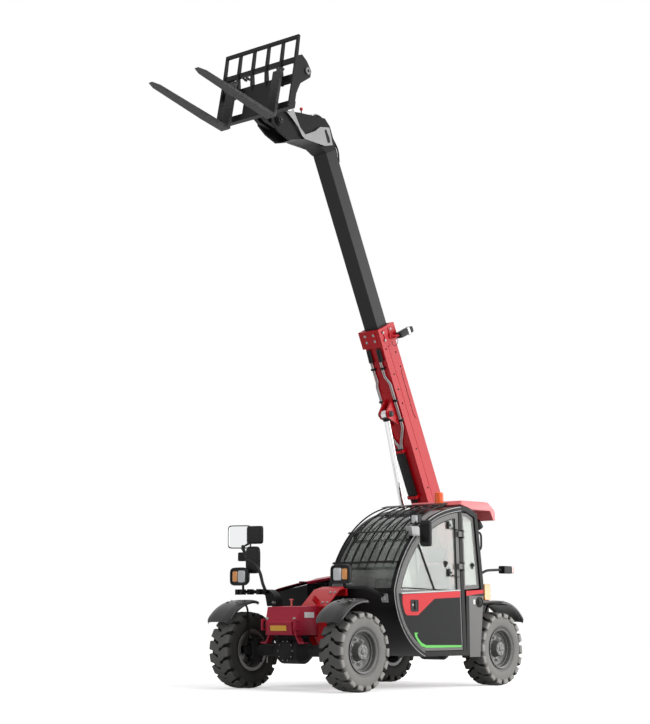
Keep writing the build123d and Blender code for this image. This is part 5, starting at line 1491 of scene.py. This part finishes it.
add_piece(
    "work_lamp_cases", [work_case, work_foot, rear_case, rear_post],
    black_plastic, sharp=35, replaces=["work_lamps"],
)
work_lens = along(pod(0.094, 0.094, lens_dome, 6), work_place + (lens_back, 0, 0), (1, 0, 0))
rear_lens = along(
    lathe([(0.031, 0.048), (0.038, 0.046), (0.042, 0.03), (0.043, 0.004)], 32), rear_lamp, rear_aim,
)
add_piece("work_lamp_lenses", [work_lens, rear_lens], clear_lens)
roof_line = cab_line(-0.006)
roof_line = roof_line[(np.abs(roof_line[:, 0] - mid_x - 0.08) < 0.26) & (roof_line[:, 1] > 1.5)]
roof_rim = strip(roof_line, 0.018, 0.76, 0.885)
wedge = plate(
    rounded(side_points([(0.285, 1.64), (0.415, 1.64), (0.44, 1.745), (0.3, 1.745)]), 0.015, 4, True),
    0.85, 0.935,
)
add_piece("roof_edge_boxes", [roof_rim, wedge], pale_grey, bevel=0.002)
tail_place, rear_way = at(-1.312, 0.89, 1.315), (-1, 0, 0)
tail_box = along(
    pod(0.088, 0.088, [(0, 0.9, 0.9), (0.006, 1, 1), (0.15, 1, 1), (0.156, 0.97, 0.97)], 7),
    tail_place, rear_way,
)
tail_stalk = tube([at(-0.868, 0.865, 1.235), at(-1.0, 0.89, 1.3), at(-1.32, 0.89, 1.315)], 0.015, 0.1)
add_piece("tail_lamp_case", [tail_box, tail_stalk], black_plastic, sharp=35, replaces=["tail_lamps"])
for label, low, high, tint in (
    ("clear", 0.155, 0.172, clear_lens), ("red", 0.172, 0.182, red_lens), ("amber", 0.182, 0.187, amber),
):
    slice_shape = pod(
        0.084, 0.084, [(low, 0.97, 0.97), (low + 0.002, 1, 1), (high - 0.002, 1, 1), (high, 0.93, 0.93)], 7,
    )
    add_piece("tail_lens_" + label, along(slice_shape, tail_place, rear_way), tint, slot="amber_lens")
print("lamps and mirrors made")

# %% [markdown]
# ## The driver's place
# Behind the glass are a seat, a wheel on its column and a console. The cushions are crowned closed
# forms: thickness falls from the middle to the edge, sides pull in a little, and two sewn lines
# are grooves pressed into the face.

# %% Seat cushions
cab_middle = 0.465


def cushion(width, depth, thickness, grooves):
    """A pad on the XY plane, facing +Z. Its crown is ((1 - u^4) (1 - v^4))^(1/3). The top is half the
    thickness times 0.35 plus 0.65 of the crown, with sewn grooves as narrow bells across u, and the
    underside is half the thickness times 0.55 plus 0.25 of the crown."""
    rows, columns = 40, 48
    u = np.sin(np.linspace(-np.pi / 2, np.pi / 2, rows))[:, None]
    v = np.sin(np.linspace(-np.pi / 2, np.pi / 2, columns))[None]
    crown = ((1 - u**4) * (1 - v**4)) ** (1 / 3)
    seams = sum(np.exp(-(((u - place) / 0.035) ** 2)) for place in grooves) * (np.abs(v) < 0.8)
    top = thickness / 2 * (0.35 + 0.65 * crown) * (crown > 0) - 0.01 * seams * crown
    under = -thickness / 2 * (0.55 + 0.25 * crown)
    rim = (np.abs(u) > 0.999) | (np.abs(v) > 0.999)
    x, y = depth / 2 * u * (1 - 0.02 * v**2), width / 2 * v * (1 - 0.03 * u**2)
    top, under = np.where(rim, 0.0, top), np.where(rim, 0.0, under)
    layers = [np.stack([x + 0 * v, y + 0 * u, z], -1).reshape(-1, 3) for z in (top, under)]
    face = grid_faces(rows, columns)
    return np.concatenate(layers), [face, face[:, ::-1] + rows * columns]


cushions = (
    ("seat_pad", (0.46, 0.48, 0.105), (-0.35, 0.35), -3, at(-0.305, cab_middle, 0.746), ["seat_cushion"]),
    ("seat_back_pad", (0.44, 0.54, 0.095), (-0.3, 0.3), -100, at(-0.572, cab_middle, 1.095), ["seat_back"]),
    ("seat_head_pad", (0.25, 0.16, 0.07), (), -96, at(-0.638, cab_middle, 1.47), []),
)
for name, size, sewn, lean, place, nodes in cushions:
    shape = moved(turned_about(cushion(*size, sewn), (0, 1, 0), lean), place)
    pad = add_piece(name, shape, seat_vinyl, sharp=60, replaces=nodes, weld=1e-5)
posts = [
    rod(at(-0.628, cab_middle + y, 1.33), at(-0.64, cab_middle + y, 1.43), 0.007) for y in (-0.05, 0.05)
]
shell_back = plate(
    rounded(
        side_points([
            (-0.56, 0.7), (-0.6, 0.76), (-0.668, 1.36), (-0.654, 1.362), (-0.583, 0.77), (-0.545, 0.715),
        ]),
        0.01, 4, True,
    ),
    cab_middle - 0.2, cab_middle + 0.2,
)
add_piece("seat_shell", posts + [shell_back], black_plastic, bevel=0.004)

# %% Steering wheel and column
wheel_place, wheel_way = at(0.24, cab_middle, 1.062), np.array([-0.66, 0, 0.75])
wheel_radius, rim_rise = 0.172, 0.01
round_line = np.insert(circle(wheel_radius, 56), 1, rim_rise, axis=1)
grip = carried(oval(0.03, 0.026, 2.2, 14), round_line, True)
hub = lathe([(-0.03, 0.03), (-0.01, 0.046), (0.008, 0.046), (0.014, 0.036), (0.016, 0.004)], 36)
spoke_line = ((0.03, 0.0), (0.1, 0.004), (wheel_radius, rim_rise))
spokes = [
    tube([(r * math.sin(a), rise, r * math.cos(a)) for r, rise in spoke_line], 0.01, 0.02)
    for a in (0.3, 2.4, 4.5)
]
add_piece(
    "steering_wheel", along(joined([grip, hub] + spokes), wheel_place, wheel_way),
    black_plastic, sharp=35, replaces=["steering_column"],
)
stalk = rod(at(0.4, cab_middle, 0.88), wheel_place, 0.024)
dash = plate(
    rounded(side_points([(0.3, 0.48), (0.42, 0.56), (0.52, 0.9), (0.36, 0.93)]), 0.03, 6, True),
    cab_middle - 0.15, cab_middle + 0.15,
)
panel = along(
    pod(0.22, 0.1, [(0, 0.9, 0.9), (0.004, 1, 1), (0.02, 1, 1), (0.024, 0.92, 0.86)], 6),
    at(0.4, cab_middle, 0.925), (-0.3, 0, 0.95), (1, 0, 0),
)
add_piece("steering_dash", [stalk, dash, panel], black_plastic, bevel=0.006)
print("seat and steering made")

# %% [markdown]
# ## Along the boom
# The outer boom is a plain box, so its fittings give it scale: bolts that hold the wear pads,
# steel pipes with rubber sleeves on the underside, a ribbed duct with clamps, a lamp on the
# collar, and the pin heads in its ears.

# %% Boom fittings
under = -boom_half_depth
collar_face, collar_side = 0.172, 0.16
side_face = boom_half_width + 0.0005
pipe_radius, pipe_bend, pipe_drop = 0.0075, 0.03, 0.018
mouth = 2.83
collar_bolts = [
    on_boom(mouth - back, side, -collar_face) for back in (0.055, 0.13) for side in (-0.058, 0.068)
]
add_piece("collar_bolts_under", heads(collar_bolts, -boom_rise, 0.024, 0.012), zinc, "boom")
add_piece(
    "collar_bolts_over",
    heads([place + 2 * collar_face * boom_rise for place in collar_bolts], boom_rise, 0.03, 0.014),
    zinc, "boom",
)
pad_screws = [
    (2.569, -0.087), (2.251, -0.075), (2.062, -0.078), (1.884, -0.075), (2.479, 0.075), (2.295, 0.085),
    (1.3, -0.07), (0.8, -0.07),
]
seam_line = [(2.262, 0.104), (2.235, 0.07), (1.69, 0.064), (1.634, 0.092)]
for label, out in (("left", 1), ("right", -1)):
    side_bolts = [
        on_boom(mouth - back, out * collar_side, rise) for back in (0.055, 0.15) for rise in (-0.095, 0.055)
    ]
    add_piece("collar_bolts_" + label, heads(side_bolts, (0, out, 0), 0.022, 0.01), zinc, "boom")
    pads = [on_boom(d, out * boom_half_width, rise) for d, rise in pad_screws]
    add_piece("pad_screws_" + label, heads(pads, (0, out, 0), 0.016, 0.006), black_paint, "boom")
    slot_line = [on_boom(d, out * side_face, rise) for d, rise in seam_line]
    add_piece(
        "side_seam_" + label, carried(circle(0.003, 6), rounded(slot_line, 0.03)),
        seal_rubber, "boom", "black_paint",
    )
    weld = [on_boom(d, out * side_face, -0.03) for d in (2.6, 0.1)]
    add_piece("side_weld_" + label, carried(circle(0.0022, 6), np.array(weld)), red_paint, "boom")
sleeves = [
    tube([on_boom(2.6, side, under - 0.012), on_boom(2.445, side, under - 0.024)], 0.0155, 0.03)
    for side in (-0.1, -0.07, 0.048, 0.078)
]
add_piece("hose_sleeves", sleeves, hose_rubber, "boom")
pipe_runs = (
    [(2.46, 0.036), (2.25, 0.036), (2.165, 0.084), (1.61, 0.08), (1.4, -0.02), (1.34, -0.024)],
    [
        (2.46, -0.102), (2.3, -0.104), (2.22, -0.092), (2.14, -0.124), (1.48, -0.122), (1.38, -0.06),
        (1.34, -0.058),
    ],
)
pipes = [
    tube([on_boom(d, side + shift, under - pipe_drop) for d, side in run], pipe_radius, pipe_bend)
    for shift in (0.0, 0.021) for run in pipe_runs
]
add_piece("steel_pipes", pipes, silver_trim, "boom")
saddle_line = rounded([(-0.034, 0.0), (-0.034, -0.03), (0.034, -0.03), (0.034, 0.0)], 0.01, 4, True)
saddle = plate(saddle_line, -0.012, 0.012)
saddle_places = ((2.36, -0.09), (2.36, 0.05), (1.95, 0.094), (1.7, 0.094), (1.95, -0.11), (1.7, -0.11))
bands = [along(saddle, on_boom(d, side, under), boom_way, boom_rise) for d, side in saddle_places]
add_piece("pipe_saddles", bands, black_paint, "boom", bevel=0.001)


duct_size, duct_side, duct_drop = (0.118, 0.056), -0.045, 0.034


def duct_shape():
    """A flat tube along the boom whose size ripples: its superellipse grows by a cosine of the distance."""
    distance = np.linspace(0.7, 1.345, 260)
    ripple = 1 + 0.03 * np.cos(distance * 2 * np.pi / 0.0175)
    rise = under - duct_drop + 0.012 * np.exp(-((distance - 0.7) / 0.05) ** 2)
    ring = oval(*duct_size, 5, 28)
    place = pivot + distance[:, None] * boom_way + rise[:, None] * boom_rise + duct_side * across_way
    points = place[:, None] + ripple[:, None, None] * (
        ring[None, :, 0:1] * across_way + ring[None, :, 1:2] * boom_rise
    )
    return points.reshape(-1, 3), capped(len(distance), len(ring))


add_piece("ribbed_duct", duct_shape(), hose_rubber, "boom", sharp=60, replaces=["boom_services"])
strap = ring_plate(oval(0.142, 0.076, 6, 28), oval(0.116, 0.058, 6, 28), -0.018, 0.018)
strap_places = [on_boom(d, duct_side, under - duct_drop) for d in (0.73, 1.32)]
straps = [along(strap, place, boom_way, boom_rise) for place in strap_places]
add_piece("duct_clamps", straps, red_paint, "boom", bevel=0.001)
tail_line = ((0.71, -0.08, 0.03, 0.03), (0.45, -0.07, 0.03, 0.018), (0.2, -0.05, 0.02, 0.014))
tails = [
    tube([on_boom(d, side + step * index, under - drop) for d, side, step, drop in tail_line], 0.011, 0.15)
    for index in range(3)
]
add_piece("service_hoses", tails, hose_rubber, "boom")

# %% Lamp on the collar, and the ears' pin
lamp_spot = on_boom(2.672, 0.232, 0.09)
lamp_box = along(
    pod(
        0.085, 0.075, [(-0.005, 0.7, 0.7), (0.0, 0.9, 0.9), (0.02, 1, 1), (0.235, 1, 1), (0.25, 0.9, 0.9)],
        7,
    ),
    lamp_spot, boom_rise, boom_way,
)
add_piece("collar_lamp_case", lamp_box, black_plastic, "boom", sharp=35)
lamp_lens = along(
    pod(0.1, 0.05, lens_dome, 6), lamp_spot + 0.16 * boom_rise + 0.034 * across_way, (0, 1, 0), boom_rise,
)
add_piece("collar_lamp_lens", lamp_lens, clear_lens, "boom")
bracket = [
    tube(
        [on_boom(2.69, collar_side, 0.03), on_boom(2.68, 0.2, 0.045), on_boom(2.672, 0.232, 0.1)],
        0.016, 0.02,
    )
]
bracket.append(
    along(
        pod(0.07, 0.05, [(0, 1, 1), (0.01, 1, 1), (0.012, 0.9, 0.9)], 6), on_boom(2.69, collar_side, 0.03),
        (0, 1, 0),
    )
)
add_piece("collar_lamp_bracket", bracket, red_paint, "boom")
lead = smooth_line(
    [
        on_boom(2.64, 0.232, 0.05), on_boom(2.59, 0.215, 0.04), on_boom(2.57, 0.18, 0.035),
        on_boom(2.59, 0.15, 0.03), on_boom(2.63, 0.158, 0.028),
    ],
    8,
)
add_piece("collar_lamp_lead", carried(circle(0.0032, 8), lead), hose_rubber, "boom")
eye_along, eye_drop = 1.83, 0.28
pin_head = lathe(
    [(0, 0.036), (0.016, 0.036), (0.019, 0.031), (0.019, 0.016), (0.024, 0.014), (0.024, 0.0)], 36,
)
pin_heads = [along(pin_head, on_boom(eye_along, out * 0.074, -eye_drop), (0, out, 0)) for out in (1, -1)]
add_piece("ear_pin_heads", pin_heads, steel_edge_highlight, "boom")
pivot_cap = lathe(
    [(0, 0.058), (0.01, 0.058), (0.014, 0.052), (0.014, 0.02), (0.022, 0.018), (0.022, 0.0)], 40,
)
pivot_caps = [along(pivot_cap, pivot + (0, out * 0.189, 0), (0, out, 0)) for out in (1, -1)]
add_piece("pivot_caps", pivot_caps, zinc)
print("boom fittings made")

# %% [markdown]
# ## Cylinders
# A cylinder reads as real from its small parts: a gland ring at the mouth of the barrel, ports
# with their pipe, and a collar at the rod's eye.

# %% Cylinder details
lift_base = np.array(joints["lift_barrel_swing"]["pos_m"])
lift_way = np.array(joints["lift_rod_slide"]["axis"])
lift_length = float(np.linalg.norm(on_boom(eye_along, 0, -eye_drop) - lift_base))
gland = lathe(
    [(1.3, 0.0625), (1.302, 0.068), (1.345, 0.068), (1.349, 0.062), (1.349, 0.037), (1.33, 0.0358)], 48,
)
seams = [lathe([(d - 0.006, 0.0615), (d, 0.0655), (d + 0.006, 0.0615)], 48) for d in (0.1, 0.16)]
port = [rod((0, 1.255, 0.055), (0, 1.255, 0.085), 0.015), rod((0, 0.2, 0.055), (0, 0.2, 0.085), 0.015)]
feed = tube([(0.0, 1.255, 0.08), (0.0, 1.18, 0.08), (0.018, 1.1, 0.072), (0.018, 0.3, 0.072)], 0.008, 0.03)
add_piece(
    "lift_gland", along(joined([gland] + seams + port), lift_base, lift_way, (-1, 0, 0)),
    black_paint, "lift_barrel", sharp=35,
)
add_piece("lift_feed", along(feed, lift_base, lift_way, (-1, 0, 0)), silver_trim, "lift_barrel")
rod_collar = lathe(
    [(lift_length - 0.085, 0.036), (lift_length - 0.08, 0.046), (lift_length - 0.045, 0.048)], 40,
)
add_piece("lift_rod_collar", along(rod_collar, lift_base, lift_way, (-1, 0, 0)), black_paint, "lift_rod")
tilt_base = np.array(joints["tilt_barrel_swing"]["pos_m"])
tilt_way = np.array(joints["tilt_rod_slide"]["axis"])
tilt_gland = lathe(
    [(0.578, 0.0425), (0.58, 0.047), (0.608, 0.047), (0.611, 0.042), (0.611, 0.024), (0.6, 0.0226)], 40,
)
add_piece(
    "tilt_gland", along(tilt_gland, tilt_base, tilt_way, (-1, 0, 0)), black_paint, "tilt_barrel", sharp=35,
)

# %% [markdown]
# ## The boom's head and the carriage
# Steel pipes and rubber hoses climb out of the inner boom, turn over the head and end at the
# quick couplings behind the carriage. A red knob works the valve on top.

# %% Head and carriage fittings
head_end = 4.99
inner_half_depth = 0.095
arcs = []
for index, side in enumerate((-0.088, -0.064, 0.064, 0.088)):
    route = [
        on_boom(head_end - 0.16, side, inner_half_depth + 0.008),
        on_boom(head_end - 0.02, side, inner_half_depth + 0.03 + 0.01 * index),
        at(0.64 + 0.02 * index, boom_y + side, 6.5), at(0.76 + 0.02 * index, boom_y + side, 6.505),
        at(0.9, boom_y + side, 6.4 - 0.02 * index), at(1.02, boom_y + side, 6.35 - 0.02 * index),
    ]
    arcs.append(tube(route, 0.01, 0.08))
add_piece("head_hoses", arcs, hose_rubber, "boom_inner")
steel_line = ((0.7, 6.44, 0.0), (0.78, 6.53, 0.02), (0.9, 6.455, 0.0))
steel = [
    tube(
        [at(x + 0.05 * i, boom_y + 0.08 - 0.03 * i, z - fall * i) for x, z, fall in steel_line], 0.008, 0.04,
    )
    for i in range(3)
]
add_piece("head_pipes", steel, silver_trim, "boom_inner")
valve_place = at(1.03, boom_y + 0.07, 6.43)
valve = [
    block(valve_place + (-0.05, -0.04, -0.05), valve_place + (0.05, 0.03, 0.03), 0.006),
    rod(valve_place + (0, 0, 0.03), valve_place + (0, 0, 0.075), 0.007),
]
add_piece("head_valve", valve, black_paint, "boom_inner", bevel=0.002)
add_piece(
    "head_valve_knob",
    moved(
        upright(lathe([(0.072, 0.01), (0.078, 0.018), (0.1, 0.019), (0.108, 0.014), (0.11, 0.002)], 24)),
        valve_place,
    ),
    red_lens, "boom_inner",
)
fork_pin = np.array(joints["fork_tilt"]["pos_m"])
head_half = 0.134
cap = lathe([(0, 0.038), (0.01, 0.038), (0.013, 0.034), (0.013, 0.016), (0.02, 0.014), (0.02, 0.0)], 40)
caps = [along(cap, fork_pin + (0, out * head_half, 0), (0, out, 0)) for out in (1, -1)]
add_piece("tilt_pin_caps", caps, steel_edge_highlight, "boom_inner")
cheek_line = [
    (1.447, 6.395), (1.397, 6.428), (1.258, 6.34), (1.156, 6.264), (1.088, 6.174), (1.036, 6.15),
    (0.688, 6.145), (0.554, 6.186), (0.584, 6.288), (0.615, 6.383), (0.775, 6.352), (0.863, 6.284),
    (1.036, 6.203), (1.122, 6.266), (1.19, 6.374), (1.241, 6.462), (1.292, 6.409), (1.326, 6.407),
]
slot_line = [
    (0.7, 6.334), (0.673, 6.346), (0.616, 6.257), (0.603, 6.206), (0.643, 6.191), (0.669, 6.251),
]
cheek_plates, slots = [], []
for out in (1, -1):
    face = boom_y + out * head_half
    cheek_plates.append(plate(side_points(cheek_line), *sorted((face, face + out * 0.004))))
    slots.append(plate(side_points(slot_line), *sorted((face + out * 0.004, face + out * 0.007))))
# Pale plates on the head's flanks: painted light standing for the lit side faces of the black head.
add_piece("head_cheek_plates", cheek_plates, lit_face_pale, "boom_inner", bevel=0.001)
add_piece("head_cheek_slots", slots, black_paint, "boom_inner")
carriage_lean = math.radians(11.5)
carriage_way = np.array([math.cos(carriage_lean), 0, math.sin(carriage_lean)])
carriage_up = np.array([-math.sin(carriage_lean), 0, math.cos(carriage_lean)])


def on_carriage(forward, y, up):
    """A place from the tilt pin, along the forks and square to them."""
    return fork_pin + forward * carriage_way + (y - fork_pin[1]) * across_way + up * carriage_up


bolt_circle = 0.03
bolt_angles = (0.5, 2.6, 4.7)
bolt_places = [
    on_carriage(0.12 + bolt_circle * math.cos(a), 0.374, 0.45 + bolt_circle * math.sin(a))
    for a in bolt_angles
]
shaft_bolts = heads(bolt_places, (0, 1, 0), 0.012, 0.006)
hook = block((-0.045, -0.012, -0.03), (0.045, 0.012, 0.03), 0.004)
fork_hooks = [
    along(hook, on_carriage(0.34, boom_y + y, 0.4), carriage_way, carriage_up) for y in (0.35, -0.35)
]
couplers = [
    along(
        lathe([(0, 0.016), (0.03, 0.016), (0.032, 0.012), (0.06, 0.012), (0.062, 0.004)], 20),
        on_carriage(0.205, y, 0.5), carriage_way, carriage_up,
    )
    for y in (0.02, 0.07, -0.45, -0.5)
]
add_piece("carriage_bolts", shaft_bolts, zinc, "carriage")
add_piece("carriage_clips", fork_hooks + couplers, steel_edge_highlight, "carriage", bevel=0.001)
print("head fittings made")

# %% [markdown]
# ## Nose, deck and axle
# The nose carries two bolts on its leaning face, a blank yellow plate on the bumper and a blank
# pale one on its side. Where the maker's lettering was, the paint is left bare.

# %% Nose and axle fittings
lean_low, lean_high = np.array([1.462, 0.7]), np.array([1.38, 0.88])
lean_way = np.array([lean_high[1] - lean_low[1], 0, lean_low[0] - lean_high[0]])
lean_way /= np.linalg.norm(lean_way)
bolt_share = 0.3
bolt_x, bolt_z = lean_low + bolt_share * (lean_high - lean_low)
lean_bolts = [at(bolt_x, y, bolt_z) for y in (-0.262, 0.128)]
add_piece("nose_bolts", heads(lean_bolts, lean_way, 0.026, 0.012), zinc)
add_piece(
    "nose_yellow_plate",
    along(
        block((-0.115, 0.0, -0.028), (0.115, 0.004, 0.028), 0.004), at(1.4755, -0.065, 0.655), (1, 0, -0.14),
    ),
    blank_yellow,
)
add_piece("nose_side_plate", block(at(1.19, 0.189, 0.765), at(1.345, 0.193, 0.822), 0.004), blank_white)
deck_bolts = heads(
    [at(x, y, 0.892 + (1.14 - x) * 0.833) for x in (1.1, 0.97) for y in (0.235, 0.3)],
    (0.64, 0, 0.77), 0.022, 0.01,
)
add_piece("deck_bolts", deck_bolts, zinc)
brace = along(
    block((-0.012, -0.095, -0.028), (0.012, 0.095, 0.028), 0.003),
    at(1.075, 0.15, 0.925), (0.83, 0, 0.55), (0.55, 0, -0.83),
)
brake_line = rod(at(1.18, -0.5, 0.28), at(1.18, -0.5, 0.48), 0.006)
add_piece("deck_brace", brace, red_paint, bevel=0.001)
add_piece("axle_line", brake_line, silver_trim)
valves = [
    rod(at(1.35, 0.01, 0.88), at(1.35, 0.01, 0.955), 0.01),
    rod(at(1.35, -0.015, 0.955), at(1.35, 0.035, 0.955), 0.008),
]
add_piece("deck_valve", valves, red_lens)
housing_y, bolt_radius, bolt_count = -0.05, 0.098, 10
ram_back, ram_lift = 0.115, 0.03
for end, sign in (("front", 1), ("rear", -1)):
    x = wheel_centre[end + "_left"][0]
    cover = along(
        lathe([(0.1, 0.118), (0.14, 0.112), (0.158, 0.09), (0.166, 0.05), (0.168, 0.004)], 48),
        (x, housing_y, tyre_radius), (sign, 0, 0),
    )
    ram = [
        along(
            lathe([(-0.16, 0.026), (-0.155, 0.03), (0.155, 0.03), (0.16, 0.026)], 28),
            (x - sign * ram_back, housing_y, tyre_radius + ram_lift), (0, 1, 0),
        )
    ]
    tie_x = x - sign * ram_back
    ties = [
        rod(
            (tie_x, housing_y + s * 0.15, tyre_radius + ram_lift), (tie_x, s * 0.5, tyre_radius + 0.02),
            0.013,
        )
        for s in (1, -1)
    ]
    add_piece("axle_cover_" + end, [cover] + ram + ties, axle_iron, sharp=35)
    bolt_ring = np.insert(circle(bolt_radius, bolt_count), 0, x + sign * 0.14, axis=1) + (
        0, housing_y, tyre_radius,
    )
    add_piece("axle_bolts_" + end, heads(bolt_ring, (sign, 0, 0), 0.018, 0.009), zinc)
print("nose and axles made")
